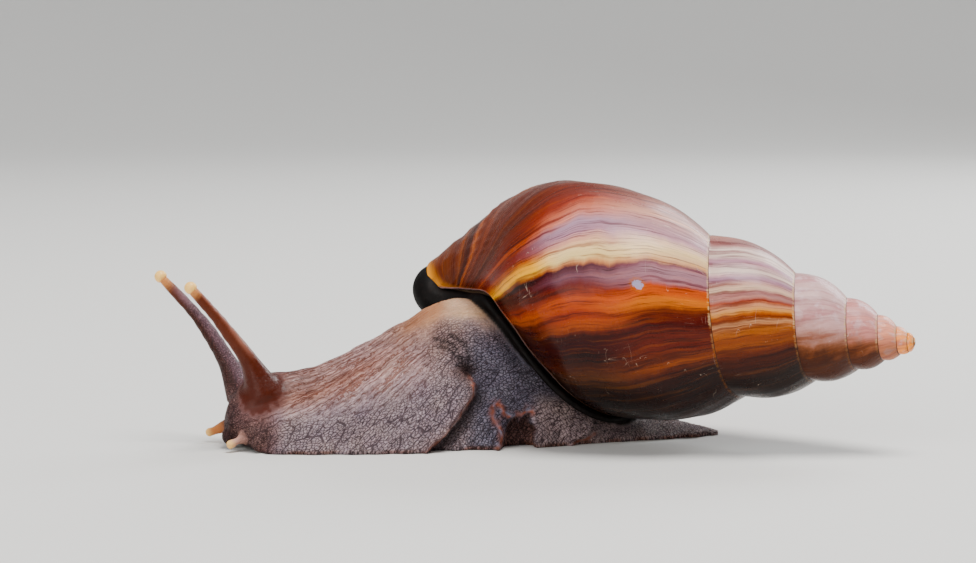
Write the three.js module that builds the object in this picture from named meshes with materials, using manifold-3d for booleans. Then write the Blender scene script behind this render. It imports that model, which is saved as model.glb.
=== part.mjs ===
// Giant African land snail, crawling: a still, life-size display model.
//
// Frame: millimetres, +Z up. The flat sole lies on z = 0, the head points to -X and the shell's apex to +X.
// The snail's left side is -Y. The shell is right-handed: seen from the apex it grows clockwise.
import * as THREE from "three";
import { ParametricGeometry } from "three/addons/geometries/ParametricGeometry.js";
import { mergeGeometries, mergeVertices } from "three/addons/utils/BufferGeometryUtils.js";
import Module from "manifold-3d";

const wasm = await Module();
wasm.setup();

// ---- Driving dimensions ----

const GAP = 0.3; // clearance between touching pieces
const BALL_SIDES = 10; // facets of a round piece, around and from pole to pole
const BALL_RINGS = 7;
const HALVINGS = 30; // of a curve, when a place on it is searched
const WELD = 1e-3; // vertices closer than this are one

// Shell: one closed piece. Its suture (the seam between whorls) winds about a straight axis.
const APEX = new THREE.Vector3(56.4, -12.5, 16.9);
const AXIS_YAW = THREE.MathUtils.degToRad(17.4); // the apex leans towards the left side
const AXIS_RISE = THREE.MathUtils.degToRad(4); // the front of the axis is the higher end
const WHORL_GROWTH = 1.665; // how much further from the apex the suture is, each whorl
const RADIUS_POWER = 0.75; // the spire is slightly convex: radius goes with distance to this power
const RADIUS_FACTOR = 0.979;
const SUTURE_END = 41; // distance from the apex, along the axis, where the last suture meets the lip
const FIRST_TURN = -6.88; // the turn where the suture starts, counted back from the lip
const SHOULDER_POWER = 2.8; // how full a whorl is just under its suture
const FRONT_REACH = 0.977; // how far the last whorl closes in beyond its widest part, in whorl widths
const LIP_AZIMUTH = THREE.MathUtils.degToRad(200); // of the suture's end: 0 is up, 90 the left side
const RECESS_DEPTH = 6; // of the aperture, under the lip
// Where the lip crosses the last whorl: [turn before the lip, distance across the whorl].
const LIP = [
  [-1, 1],
  [-0.92, 1.06],
  [-0.86, 1.29],
  [-0.8, 1.58],
  [-0.73, 1.74],
  [-0.66, 1.78],
  [-0.6, 1.9],
  [-0.52, 1.94],
  [-0.44, 1.94],
  [-0.36, 1.88],
  [-0.28, 1.76],
  [-0.2, 1.63],
  [-0.14, 1.5],
  [-0.09, 1.22],
  [-0.065, 0.75],
  [-0.04, 0.3],
  [0, 0],
];
const TURN_STEPS = 24; // facets in one turn of the shell
const WHORL_STEPS = 6; // facets across a whorl
const RECESS_STEPS = 3;

// Mantle: a dark soft roll along the lip, thickest at the front, and the skin that fills the aperture.
const COLLAR_LEFT = 0.85; // radius along the left border
const COLLAR_THICK = 2.7; // radius at the front
const COLLAR_RIGHT = 1.5; // radius along the right side
const COLLAR_FRONT = -0.36; // the turn where the roll is thickest
const COLLAR_TAPER = 1.6; // how soon it thins: 1 is at the far end of the lip, 2 is halfway
const COLLAR_INSET = 0.9; // how far the roll's middle lies inside the lip, in its own radius
const COLLAR_DROP = 0.95; // how far it hangs out of the shell, in its own radius
const COLLAR_STEPS = 28;
const COLLAR_SIDES = 7;
const MANTLE_INSET = 1.1; // from the lip to the edge of the mantle's skin
const MANTLE_BULGE = 1; // of the mantle's skin out of the shell

// Body: stations from the tail to the face. x and y are on the body's midline, sole and back are
// half-widths, top is the height of the back.
const BODY = [
  { x: 29, y: 7.5, sole: 0.8, back: 0.5, top: 0.8 },
  { x: 24, y: 7.8, sole: 4.2, back: 2.6, top: 2.1 },
  { x: 16, y: 8, sole: 7.4, back: 5.5, top: 3.8 },
  { x: 8, y: 7.6, sole: 9.8, back: 8.6, top: 10 },
  { x: 0, y: 6, sole: 11.2, back: 10, top: 19 },
  { x: -7, y: 4.4, sole: 11.8, back: 10, top: 21.2 },
  { x: -13, y: 3, sole: 12, back: 9.4, top: 22.1 },
  { x: -20, y: 1.2, sole: 11.8, back: 7.8, top: 19 },
  { x: -27, y: -0.4, sole: 11.4, back: 7, top: 15.3 },
  { x: -34, y: -1.8, sole: 10.6, back: 6.6, top: 12.2 },
  { x: -40, y: -2.8, sole: 9, back: 6.4, top: 11.5 },
  { x: -44, y: -3.4, sole: 6.6, back: 5.8, top: 10.4 },
  { x: -46.6, y: -3.7, sole: 4.4, back: 4.2, top: 7.6 },
  { x: -47.6, y: -3.8, sole: 1.6, back: 1.6, top: 4.6 },
];
const RIM_HEIGHT = 0.7; // where the edge of the foot is widest
const SOLE_INSET = 0.5; // the flat sole is this much narrower than the rim
const BODY_STEPS = 30;
const BACK_SIDES = 12; // facets over the back
const SOLE_SIDES = 3; // facets below the rim: a narrow one on each side, and the flat sole
const FLANK_POWER = 0.8; // how soon the flank draws in above the rim

// Folds of the foot: flattened lobes that stand out from its two sides. "left" is -1 on the left side, "out"
// is measured from the midline, and "turn" is about the vertical, so that the front end sinks in.
const FOLDS = {
  foot_flap_left: { left: -1, x: -22.4, out: 7.8, z: 7.3, length: 12.8, thick: 2.9, height: 6.9, turn: 5 },
  foot_curl_left: { left: -1, x: -5.6, out: 10.6, z: 3.3, length: 1.4, thick: 2.1, height: 3.6, turn: 0 },
  foot_lobe_left: { left: -1, x: 4.6, out: 9.6, z: 3.6, length: 5, thick: 2.4, height: 4.4, turn: -6 },
  foot_flap_right: { left: 1, x: -19, out: 8.1, z: 6.6, length: 12.6, thick: 2.9, height: 6.3, turn: 5 },
  foot_lobe_right: { left: 1, x: 2.4, out: 10, z: 3.4, length: 6.2, thick: 2.4, height: 4, turn: 0 },
};
const FOLD_LEAN = THREE.MathUtils.degToRad(25); // the lobes lean in with the flank
// Hollow under the left edge of the foot, where it arches over the ground.
const HOLLOW = { x: -2.4, out: 12.6, z: 1.9, size: [2.2, 4.2, 2.9] };

// Cuts that part the flesh into its named lengths.
const HEAD_CUT = -37.5;
const SHOULDER_CUT = -15;
const FOOT_CUTS = [-15, 3, 12];
const FOOT_TOP = 5; // height where the foot ends and the neck begins
const FAR = 200; // larger than the whole animal

// Feelers: a curve from the root to the tip, and the radii at root, middle and tip.
const UPPER_LEFT = {
  points: [[-41, -5.4, 7.6], [-43.3, -5.7, 13.1], [-47.8, -6.2, 19.5], [-52.1, -6.6, 24.6]],
  radii: [3.5, 1.65, 1.1, 0.8],
};
const UPPER_RIGHT = {
  points: [[-44.6, -0.8, 7], [-47.5, 0.6, 12.6], [-51.6, 2, 18.7], [-57.8, 3.4, 25.3]],
  radii: [3.0, 1.5, 1.15, 0.75],
};
const LOWER_LEFT = {
  points: [[-42, -6.6, 3.1], [-43.6, -8, 2.4], [-45.2, -9, 1.6], [-46.6, -9.8, 1]],
  radii: [1.5, 1.05, 0.8, 0.75],
};
const LOWER_RIGHT = {
  points: [[-46, -1.4, 3.4], [-47.6, -0.7, 2.7], [-49.2, 0, 1.9], [-50.8, 0.7, 1.3]],
  radii: [1.5, 1.05, 0.8, 0.75],
};
const EYE_RADIUS = 1.05;
const FEELER_STEPS = 10;
const FEELER_SIDES = 8;
const FEELER_ENDS = 0.1; // how blunt the feeler's ends are: 0 is flat, 1 is long and pointed

// Lips: two soft lobes beside the mouth.
const MOUTH = { x: -46.4, y: -3.9, z: 1.9, spread: 1.5, size: [1.5, 1.3, 1.6] };

// ---- Solids ----

// One closed solid from geometries whose edges meet, turned to face outward.
function solid(...geometries) {
  const bare = geometries.map((geometry) => {
    const open = geometry.index ? geometry.toNonIndexed() : geometry;
    open.deleteAttribute("normal");
    open.deleteAttribute("uv");
    return open;
  });
  const welded = mergeVertices(mergeGeometries(bare), WELD);
  const kept = [];
  const index = welded.index.array;
  for (let i = 0; i < index.length; i += 3) {
    const [a, b, c] = [index[i], index[i + 1], index[i + 2]];
    if (a !== b && b !== c && a !== c) kept.push(a, b, c);
  }
  const vertProperties = welded.attributes.position.array;
  if (signedVolume(vertProperties, kept) < 0) kept.reverse();
  return new wasm.Manifold(new wasm.Mesh({ numProp: 3, vertProperties, triVerts: Uint32Array.from(kept) }));
}

function signedVolume(points, triangles) {
  const corner = (i) => new THREE.Vector3().fromArray(points, 3 * triangles[i]);
  let sum = 0;
  for (let i = 0; i < triangles.length; i += 3) {
    sum += corner(i).dot(corner(i + 1).cross(corner(i + 2)));
  }
  return sum;
}

// The last point of a curve, from its start, for which a condition holds.
function placeWhere(curve, holds) {
  let [low, high] = [0, 1];
  for (let i = 0; i < HALVINGS; i++) {
    const middle = (low + high) / 2;
    if (holds(curve.getPoint(middle))) low = middle;
    else high = middle;
  }
  return curve.getPoint(low);
}

// A block between two corners.
function block(low, high) {
  const size = new THREE.Vector3().subVectors(high, low);
  const box = new THREE.BoxGeometry(size.x, size.y, size.z);
  box.translate(low.x + size.x / 2, low.y + size.y / 2, low.z + size.z / 2);
  return solid(box);
}

// The slice of a solid between two heights and two places along X.
function slice(whole, x0, x1, z0, z1) {
  return whole.intersect(block(new THREE.Vector3(x0, -FAR, z0), new THREE.Vector3(x1, FAR, z1)));
}

function toMesh(name, made, material) {
  const { vertProperties, triVerts } = made.getMesh();
  const geometry = new THREE.BufferGeometry();
  geometry.setAttribute("position", new THREE.BufferAttribute(vertProperties, 3));
  geometry.setIndex(new THREE.BufferAttribute(triVerts, 1));
  geometry.computeVertexNormals();
  const mesh = new THREE.Mesh(geometry, material);
  mesh.name = name;
  return mesh;
}

// ---- Shell ----

const toFront = new THREE.Vector3(
  -Math.cos(AXIS_YAW) * Math.cos(AXIS_RISE),
  Math.sin(AXIS_YAW) * Math.cos(AXIS_RISE),
  Math.sin(AXIS_RISE),
);
const toLeft = new THREE.Vector3(0, 0, 1).cross(toFront).normalize();
const toTop = new THREE.Vector3().crossVectors(toFront, toLeft);

// Distance of the suture from the apex, along the axis.
function sutureDistance(turn) {
  const start = WHORL_GROWTH ** FIRST_TURN;
  return (SUTURE_END * Math.max(WHORL_GROWTH ** turn - start, 0)) / (1 - start);
}

function sutureRadius(turn) {
  return RADIUS_FACTOR * sutureDistance(turn) ** RADIUS_POWER;
}

// A point of the shell: turn runs along the spiral, across from a suture (0) to the next (1) and beyond.
function shellPoint(turn, across, target = new THREE.Vector3()) {
  const near = sutureDistance(turn);
  const distance = near + across * (sutureDistance(turn + 1) - near);
  const widest = sutureRadius(turn + 1);
  const rise = (widest - sutureRadius(turn)) * Math.max(1 - across, 0) ** SHOULDER_POWER;
  const closing = widest * (Math.max(across - 1, 0) / FRONT_REACH) ** 2;
  const azimuth = LIP_AZIMUTH - 2 * Math.PI * turn;
  return target
    .copy(APEX)
    .addScaledVector(toFront, distance)
    .addScaledVector(toTop, (widest - rise - closing) * Math.cos(azimuth))
    .addScaledVector(toLeft, (widest - rise - closing) * Math.sin(azimuth));
}

const lipSpline = new THREE.CatmullRomCurve3(LIP.map(([turn, across]) => new THREE.Vector3(turn, across, 0)));

// How far across its whorl the shell reaches at a turn: to the next suture, or to the lip.
function reachAcross(turn) {
  if (turn <= -1) return 1;
  return Math.max(placeWhere(lipSpline, (point) => point.x < turn).y, 0);
}

function lipPoint(turn, target) {
  return shellPoint(turn, turn === 0 ? 0 : reachAcross(turn), target);
}

const lipCentre = new THREE.Vector3();
for (let i = 0; i < TURN_STEPS; i++) {
  lipCentre.addScaledVector(lipPoint(i / TURN_STEPS - 1, new THREE.Vector3()), 1 / TURN_STEPS);
}
const outOfShell = new THREE.Vector3(-0.62, 0.12, -0.78).normalize();

function makeShell() {
  const turns = Math.ceil(1 - FIRST_TURN);
  const outside = new ParametricGeometry(
    (u, v, target) => {
      const turn = Math.round((u - 1) * turns * TURN_STEPS) / TURN_STEPS;
      if (turn === 0) shellPoint(0, 0, target);
      else shellPoint(turn, v * reachAcross(turn), target);
    },
    turns * TURN_STEPS,
    WHORL_STEPS,
  );
  const deepest = lipCentre.clone().addScaledVector(outOfShell, -RECESS_DEPTH);
  const recess = new ParametricGeometry(
    (u, v, target) => lipPoint(Math.round((u - 1) * TURN_STEPS) / TURN_STEPS, target).lerp(deepest, v),
    TURN_STEPS,
    RECESS_STEPS,
  );
  return solid(outside, recess);
}

// ---- Mantle ----

// Radius of the roll: thick at the front, thinner along the two sides.
function collarRadius(turn) {
  const left = turn < COLLAR_FRONT;
  const reach = left ? 1 + COLLAR_FRONT : -COLLAR_FRONT;
  const away = Math.min((COLLAR_TAPER * Math.abs(turn - COLLAR_FRONT)) / reach, 1);
  return THREE.MathUtils.lerp(
    COLLAR_THICK,
    left ? COLLAR_LEFT : COLLAR_RIGHT,
    THREE.MathUtils.smoothstep(away, 0, 1),
  );
}

function towardsLipCentre(point) {
  return new THREE.Vector3().subVectors(lipCentre, point).normalize();
}

function collarCentre(turn) {
  const centre = lipPoint(turn, new THREE.Vector3());
  const radius = collarRadius(turn);
  return centre
    .addScaledVector(towardsLipCentre(centre), COLLAR_INSET * radius)
    .addScaledVector(outOfShell, COLLAR_DROP * radius);
}

// The roll: a ring of round sections that follows the lip.
function makeRoll(margin) {
  const wrap = (turn) => (turn > 0 ? turn - 1 : turn < -1 ? turn + 1 : turn);
  const surface = (u, v, target) => {
    const turn = u === 1 ? -1 : Math.round((u - 1) * COLLAR_STEPS) / COLLAR_STEPS;
    const centre = collarCentre(turn);
    const ahead = collarCentre(wrap(turn + 1 / COLLAR_STEPS));
    const along = ahead.sub(collarCentre(wrap(turn - 1 / COLLAR_STEPS))).normalize();
    const side = towardsLipCentre(centre);
    side.addScaledVector(along, -side.dot(along)).normalize();
    const up = new THREE.Vector3().crossVectors(along, side);
    const angle = 2 * Math.PI * (v === 1 ? 0 : v);
    const radius = collarRadius(turn) + margin;
    target.copy(centre);
    target.addScaledVector(side, radius * Math.cos(angle)).addScaledVector(up, radius * Math.sin(angle));
  };
  return solid(new ParametricGeometry(surface, COLLAR_STEPS, COLLAR_SIDES));
}

// The skin across the aperture: a shallow cone that bulges out, closed by the cone of the recess behind it.
function makeApertureSkin() {
  const inner = lipCentre.clone().addScaledVector(outOfShell, 2 * GAP - RECESS_DEPTH);
  const outer = lipCentre.clone().addScaledVector(outOfShell, MANTLE_BULGE);
  const surface = (u, v, target) => {
    lipPoint(Math.round((u - 1) * TURN_STEPS) / TURN_STEPS, target);
    target.addScaledVector(towardsLipCentre(target), MANTLE_INSET).addScaledVector(outOfShell, GAP);
    target.lerp(v < 0.5 ? inner : outer, Math.abs(2 * v - 1));
  };
  return solid(new ParametricGeometry(surface, TURN_STEPS, 2 * RECESS_STEPS));
}

// ---- Body ----

const bodyPath = new THREE.CatmullRomCurve3(BODY.map((s) => new THREE.Vector3(s.x, s.y, s.top)));
const bodyWidths = new THREE.CatmullRomCurve3(BODY.map((s) => new THREE.Vector3(s.sole, s.back, 0)));

// The body's surface: bell-shaped sections over a flat sole, closed to a point at each end.
function bodyPoint(u, v, target) {
  const { x, y, z: top } = bodyPath.getPoint(v);
  const { x: sole, y: back } = bodyWidths.getPoint(v);
  const open = v === 0 || v === 1 ? 0 : 1;
  const side = Math.round(u * (BACK_SIDES + SOLE_SIDES)) % (BACK_SIDES + SOLE_SIDES);
  if (side > BACK_SIDES) {
    const share = (side - BACK_SIDES - 1) / (SOLE_SIDES - 2);
    target.set(x, y + open * (sole - SOLE_INSET) * (1 - 2 * share), 0);
    if (!open) target.z = RIM_HEIGHT;
    return;
  }
  const angle = (Math.PI * side) / BACK_SIDES;
  const rise = Math.sin(angle);
  const width = THREE.MathUtils.lerp(sole, back, rise ** FLANK_POWER);
  const height = RIM_HEIGHT + Math.max(top - RIM_HEIGHT, 0) * rise;
  target.set(x, y - open * width * Math.cos(angle), open ? height : RIM_HEIGHT);
}

function makeBody() {
  const trunk = solid(new ParametricGeometry(bodyPoint, BACK_SIDES + SOLE_SIDES, BODY_STEPS));
  const hollow = makeBall([HOLLOW.x, bodyMiddle(HOLLOW.x) - HOLLOW.out, HOLLOW.z], HOLLOW.size, 0);
  return trunk.subtract(hollow);
}

function makeFold(fold, margin) {
  const lobe = new THREE.SphereGeometry(1, BALL_SIDES, BALL_RINGS);
  lobe.scale(fold.length + margin, fold.thick + margin, fold.height + margin);
  lobe.rotateX(fold.left * FOLD_LEAN);
  lobe.rotateZ(-fold.left * THREE.MathUtils.degToRad(fold.turn));
  lobe.translate(fold.x, bodyMiddle(fold.x) + fold.left * fold.out, fold.z);
  return slice(solid(lobe), -FAR, FAR, 0, FAR);
}

// Place of the body's midline across, at a place along X.
function bodyMiddle(x) {
  return placeWhere(bodyPath, (point) => point.x > x).y;
}

// ---- Feelers, eyes and lips ----

function makeFeeler({ points, radii }, margin) {
  const path = new THREE.CatmullRomCurve3(points.map((p) => new THREE.Vector3(...p)));
  const girth = new THREE.CatmullRomCurve3(radii.map((r, i) => new THREE.Vector3(r, i, 0)));
  const surface = (u, v, target) => {
    const along = path.getTangent(v);
    const side = new THREE.Vector3(0, 1, 0).cross(along).normalize();
    const up = new THREE.Vector3().crossVectors(along, side);
    const angle = 2 * Math.PI * (u === 1 ? 0 : u);
    const ends = Math.sin(Math.PI * v) ** FEELER_ENDS;
    const radius = v === 0 || v === 1 ? 0 : girth.getPoint(v).x * ends + margin;
    path.getPoint(v, target);
    target.addScaledVector(side, radius * Math.cos(angle)).addScaledVector(up, radius * Math.sin(angle));
  };
  return solid(new ParametricGeometry(surface, FEELER_SIDES, FEELER_STEPS));
}

function makeBall(centre, size, margin) {
  const ball = new THREE.SphereGeometry(1, BALL_SIDES, BALL_RINGS);
  ball.scale(size[0] + margin, size[1] + margin, size[2] + margin);
  ball.translate(...centre);
  return solid(ball);
}

function makeEye(feeler, margin) {
  return makeBall(feeler.points.at(-1), [EYE_RADIUS, EYE_RADIUS, EYE_RADIUS], margin);
}

function makeLip(left, margin) {
  return makeBall([MOUTH.x, MOUTH.y + left * MOUTH.spread, MOUTH.z], MOUTH.size, margin);
}

// ---- Materials ----

const shellMaterial = new THREE.MeshStandardMaterial({ color: 0x9a4a1e, roughness: 0.3, metalness: 0 });
const skinMaterial = new THREE.MeshStandardMaterial({ color: 0x9c7f78, roughness: 0.55, metalness: 0 });
const collarMaterial = new THREE.MeshStandardMaterial({ color: 0x1c1616, roughness: 0.4, metalness: 0 });
const eyeMaterial = new THREE.MeshStandardMaterial({ color: 0xf0d9a0, roughness: 0.35, metalness: 0 });

// ---- Assembly ----

const snail = new THREE.Group();

// Adds a piece to the animal, without the slivers that cuts leave beside it, and returns its solid.
function put(name, made, material) {
  const [largest] = made.decompose().sort((a, b) => b.volume() - a.volume());
  snail.add(toMesh(name, largest, material.clone()));
  return largest;
}

const shell = put("shell", makeShell(), shellMaterial);
const clearance = outOfShell.clone().multiplyScalar(GAP).toArray();
const keepOut = shell.add(shell.translate(clearance)).add(shell.translate([0, GAP, 0]));
const skinAcross = makeApertureSkin();
put("mantle_collar", makeRoll(0).add(skinAcross).subtract(keepOut), collarMaterial);

const feelers = {
  upper_tentacle_left: UPPER_LEFT,
  upper_tentacle_right: UPPER_RIGHT,
  lower_tentacle_left: LOWER_LEFT,
  lower_tentacle_right: LOWER_RIGHT,
};
const lips = { mouth_lobe_left: -1, mouth_lobe_right: 1 };

const overhead = keepOut.add(makeRoll(GAP)).add(skinAcross).add(skinAcross.translate(clearance));
let body = makeBody().subtract(overhead);
for (const [name, fold] of Object.entries(FOLDS)) {
  put(name, makeFold(fold, 0).subtract(overhead), skinMaterial);
  body = body.subtract(makeFold(fold, GAP));
}
for (const feeler of Object.values(feelers)) body = body.subtract(makeFeeler(feeler, GAP));
for (const left of Object.values(lips)) body = body.subtract(makeLip(left, GAP));

// Each length of the flesh: what it is cut from, and where it starts and ends along X.
const half = GAP / 2;
const above = slice(body, -FAR, FAR, FOOT_TOP + half, FAR);
const below = slice(body, -FAR, FAR, -FAR, FOOT_TOP - half);
const [footFront, footRear, tailStart] = FOOT_CUTS;
const lengths = {
  head: [body, -FAR, HEAD_CUT],
  neck: [above, HEAD_CUT, SHOULDER_CUT],
  shoulder: [above, SHOULDER_CUT, tailStart],
  foot_front: [below, HEAD_CUT, footFront],
  foot_middle: [below, footFront, footRear],
  foot_rear: [below, footRear, tailStart],
  tail: [body, tailStart, FAR],
};
for (const [name, [flesh, start, end]] of Object.entries(lengths)) {
  put(name, slice(flesh, start + half, end - half, -FAR, FAR), skinMaterial);
}

for (const [name, feeler] of Object.entries(feelers)) {
  let made = makeFeeler(feeler, 0);
  if (name.startsWith("upper")) made = made.subtract(makeEye(feeler, GAP));
  put(name, made, skinMaterial);
}
for (const [name, left] of Object.entries(lips)) {
  const lower = left < 0 ? LOWER_LEFT : LOWER_RIGHT;
  put(name, makeLip(left, 0).subtract(makeFeeler(lower, GAP)), skinMaterial);
}
put("eye_left", makeEye(UPPER_LEFT, 0), eyeMaterial);
put("eye_right", makeEye(UPPER_RIGHT, 0), eyeMaterial);

export default snail;
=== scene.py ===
import math
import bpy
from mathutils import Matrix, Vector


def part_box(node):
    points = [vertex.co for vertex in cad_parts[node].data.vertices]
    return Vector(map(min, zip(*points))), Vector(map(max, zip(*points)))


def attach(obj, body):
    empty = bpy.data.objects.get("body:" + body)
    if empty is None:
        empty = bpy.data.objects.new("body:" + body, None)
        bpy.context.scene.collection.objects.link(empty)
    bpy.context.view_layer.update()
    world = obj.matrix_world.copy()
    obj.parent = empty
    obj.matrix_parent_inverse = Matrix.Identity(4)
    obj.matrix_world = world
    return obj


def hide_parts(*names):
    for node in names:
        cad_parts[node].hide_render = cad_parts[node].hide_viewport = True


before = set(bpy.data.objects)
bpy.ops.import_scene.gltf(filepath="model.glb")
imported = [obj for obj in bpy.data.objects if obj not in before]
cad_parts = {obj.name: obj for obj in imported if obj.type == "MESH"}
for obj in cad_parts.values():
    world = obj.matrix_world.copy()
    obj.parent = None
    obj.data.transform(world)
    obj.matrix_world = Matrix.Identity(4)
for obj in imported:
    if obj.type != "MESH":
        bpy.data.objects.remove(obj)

from types import SimpleNamespace

import bpy
import numpy as np
from bpy.props import FloatProperty, FloatVectorProperty, PointerProperty
from mathutils import Vector

bl_info = {
    "name": "Giant land snail",
    "version": (1, 0, 0),
    "blender": (4, 5, 0),
    "location": "3D View > Sidebar > Snail",
    "description": "Shell, skin and eyes of a crawling giant land snail, with a plain studio",
    "category": "Object",
}

MM = 0.001  # everything below is worked out in millimetres and written in metres

# ---- Sizes of the solids that the looks are fitted to, in millimetres ----

APEX = np.array([56.4, -12.5, 16.9])
AXIS_YAW, AXIS_RISE = math.radians(17.4), math.radians(4)
WHORL_GROWTH = 1.665
RADIUS_POWER, RADIUS_FACTOR = 0.75, 0.979
SUTURE_END = 41
FIRST_TURN = -6.88
SHOULDER_POWER = 2.8
FRONT_REACH = 0.977
LIP_AZIMUTH = math.radians(200)
RECESS_DEPTH = 6
OUT_OF_SHELL = np.array([-0.62, 0.12, -0.78]) / math.sqrt(0.62 ** 2 + 0.12 ** 2 + 0.78 ** 2)
# The lip, as (turn, how far across the whorl it lies).
LIP = [
    (-1, 1), (-0.92, 1.06), (-0.86, 1.29), (-0.8, 1.58), (-0.73, 1.74), (-0.66, 1.78),
    (-0.6, 1.9), (-0.52, 1.94), (-0.44, 1.94), (-0.36, 1.88), (-0.28, 1.76), (-0.2, 1.63),
    (-0.14, 1.5), (-0.09, 1.22), (-0.065, 0.75), (-0.04, 0.3), (0, 0),
]

COLLAR_LEFT, COLLAR_THICK, COLLAR_RIGHT = 0.85, 2.7, 1.5  # radii of the mantle's roll
COLLAR_FRONT, COLLAR_TAPER = -0.36, 1.6  # the turn where it is thickest, and how fast it thins
COLLAR_INSET, COLLAR_DROP = 0.9, 0.95  # how far it lies in from the lip and below it, in radii
MANTLE_INSET, MANTLE_DROP, MANTLE_BULGE = 1.1, 0.3, 1.0

# Stations of the body from the tail to the face: x, y of the midline, half-widths of sole and back, height.
BODY = [
    (29, 7.5, 0.8, 0.5, 0.8), (24, 7.8, 4.2, 2.6, 2.1), (16, 8, 7.4, 5.5, 3.8),
    (8, 7.6, 9.8, 8.6, 10), (0, 6, 11.2, 10, 19), (-7, 4.4, 11.8, 10, 21.2),
    (-13, 3, 12, 9.4, 22.1), (-20, 1.2, 11.8, 7.8, 19), (-27, -0.4, 11.4, 7, 15.3),
    (-34, -1.8, 10.6, 6.6, 12.2), (-40, -2.8, 9, 6.4, 11.5), (-44, -3.4, 6.6, 5.8, 10.4),
    (-46.6, -3.7, 4.4, 4.2, 7.6), (-47.6, -3.8, 1.6, 1.6, 4.6),
]
RIM_HEIGHT = 0.7
SOLE_INSET = 0.5
FLANK_POWER = 0.8

# Tentacles: path, radii along it, the shares of the length between which their own look sets in, and how
# far beyond the radius it reaches.
FEELERS = {
    "upper_left": (
        [(-41, -5.4, 7.6), (-43.3, -5.7, 13.1), (-47.8, -6.2, 19.5), (-52.1, -6.6, 24.6)],
        [3.5, 1.65, 1.1, 0.8], (-0.02, 0.01), 1.5,
    ),
    "upper_right": (
        [(-44.6, -0.8, 7), (-47.5, 0.6, 12.6), (-51.6, 2, 18.7), (-57.8, 3.4, 25.3)],
        [3.0, 1.5, 1.15, 0.75], (0.02, 0.2), 0.8,
    ),
    "lower_left": (
        [(-42, -6.6, 3.1), (-43.6, -8, 2.4), (-45.2, -9, 1.6), (-46.6, -9.8, 1)],
        [1.5, 1.05, 0.8, 0.75], (0.26, 0.75), 0.35,
    ),
    "lower_right": (
        [(-46, -1.4, 3.4), (-47.6, -0.7, 2.7), (-49.2, 0, 1.9), (-50.8, 0.7, 1.3)],
        [1.5, 1.05, 0.8, 0.75], (0.1, 0.5), 0.4,
    ),
}
MOUTH = {"x": -46.4, "y": -3.9, "z": 1.9, "spread": 1.5, "size": (1.5, 1.3, 1.6)}

# ---- Forms that only the looks have, their lengths in millimetres ----

INSET = 0.15  # how far the smooth trunk lies inside the faceted solids
SLIM = 0.05  # the same for the rolls and balls
FEELER_SLIM = 0.08  # the same for the tentacles
SHELL_SLIM = 0.025  # the share by which the shell's radius is smaller than that of the facets' corners
TIP_ROUNDING, TIP_LENGTH, TIP_BACK = 2.0, 1.3, 0.09  # the dome at the apex
LIP_KNOB = -0.4  # the turn at which the lip is thickest
CHIP = (-0.632, 0.49)  # turn, and share across the whorl, of the one large chip
PER_TURN, SHELL_ROWS = 150, 44  # steps of the shell's grid round a whorl and across it
LIP_POINTS, RECESS_POINTS = 9, 14  # points across the lip's roll and down into the recess
ROW_SPACING = 1.15  # above 1, its rows lie closer together near the suture
FAR_FROM_LIP = 50  # what all whorls but the last have as their distance from the lip
# Points of the other grids, along and around.
TRUNK_GRID, SOLE_POINTS = (460, 261), 21
FEELER_GRID, COLLAR_GRID, MANTLE_GRID, BALL_GRID = (160, 49), (361, 33), (241, 41), (33, 65)
SMOOTHING, JOINT_SMOOTHING = 4, 26  # rounds for the whole skin, and for where its parts meet
SINK = 0.08  # how far the smoothed skin is drawn in at last
FLOOR_SNAP = 0.15  # below this height the skin is pressed flat on the floor
MANTLE_SHARE = 0.93  # above this share of its mask a face belongs to the mantle

# Folds of the foot, drawn on its left flank as (x, z).
FLAP_RIM = [(-17, 0), (-13.6, 2.6), (-11, 5.9), (-9.4, 8.3), (-9.5, 9.8), (-11.2, 11.8), (-13, 12.6)]
CURL_RIM = [(-6.7, 6.3), (-6.5, 5.0), (-5.9, 3.9), (-5.3, 2.9), (-5.2, 1.8), (-5.6, 0.6)]
ARCH_RIM = [
    (-6.4, 6.7), (-5.7, 6.9), (-5.1, 6.1), (-4.5, 5.3), (-3.4, 4.9), (-2.2, 5.1), (-1.2, 5.7), (-0.5, 5.6),
]
HIND_RIM = [(5.0, 0.1), (6.6, 0.5), (8.0, 0.9), (9.0, 1.5)]
RIMS = [(FLAP_RIM, 0.5), (CURL_RIM, 1.1), (ARCH_RIM, 1.1), (HIND_RIM, 0.5)]  # with their colour's widths
HIND_EDGE = [(0.5, 5.6), (1.2, 7.2), (1.8, 8.4), (2.6, 9.2), (5, 9.8), (8, 9.6)]  # as (z, x)
PIT = (-10.7, 11.9)
CAVITY = {"x": -2.5, "z": 0.6, "half": 2.5, "height": 4.3, "depth": 2.3, "power": 2.3}
CHEEK, CHIN_FOLD = (-42.4, 3.3), -41.5
NECK_GROOVES = [
    [(-15.4, 16.6), (-13.3, 15.9), (-12, 14.8), (-11.2, 13.2)],
    [(-14.6, 15.4), (-13.2, 14.9), (-12.2, 14), (-11.5, 12.9)],
    [(-13, 17), (-11.4, 16), (-10.5, 14.8), (-10.2, 13.4)],
]


def hexed(text):
    """The linear colour of a two-digits-a-channel hexadecimal colour."""
    value = np.array([int(text[i:i + 2], 16) / 255 for i in (0, 2, 4)])
    linear = np.where(value <= 0.04045, value / 12.92, ((value + 0.055) / 1.055) ** 2.4)
    return tuple(float(v) for v in linear)


# ---- Settings ----

def colour(name, description, default):
    return FloatVectorProperty(
        name=name, description=description, subtype="COLOR", size=3, min=0, max=1, default=hexed(default)
    )


def length(name, description, default, low, high):
    """A length whose default and limits are given in millimetres."""
    return FloatProperty(
        name=name, description=description, default=default * MM, min=low * MM, max=high * MM,
        subtype="DISTANCE", unit="LENGTH", precision=5,
    )


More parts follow.
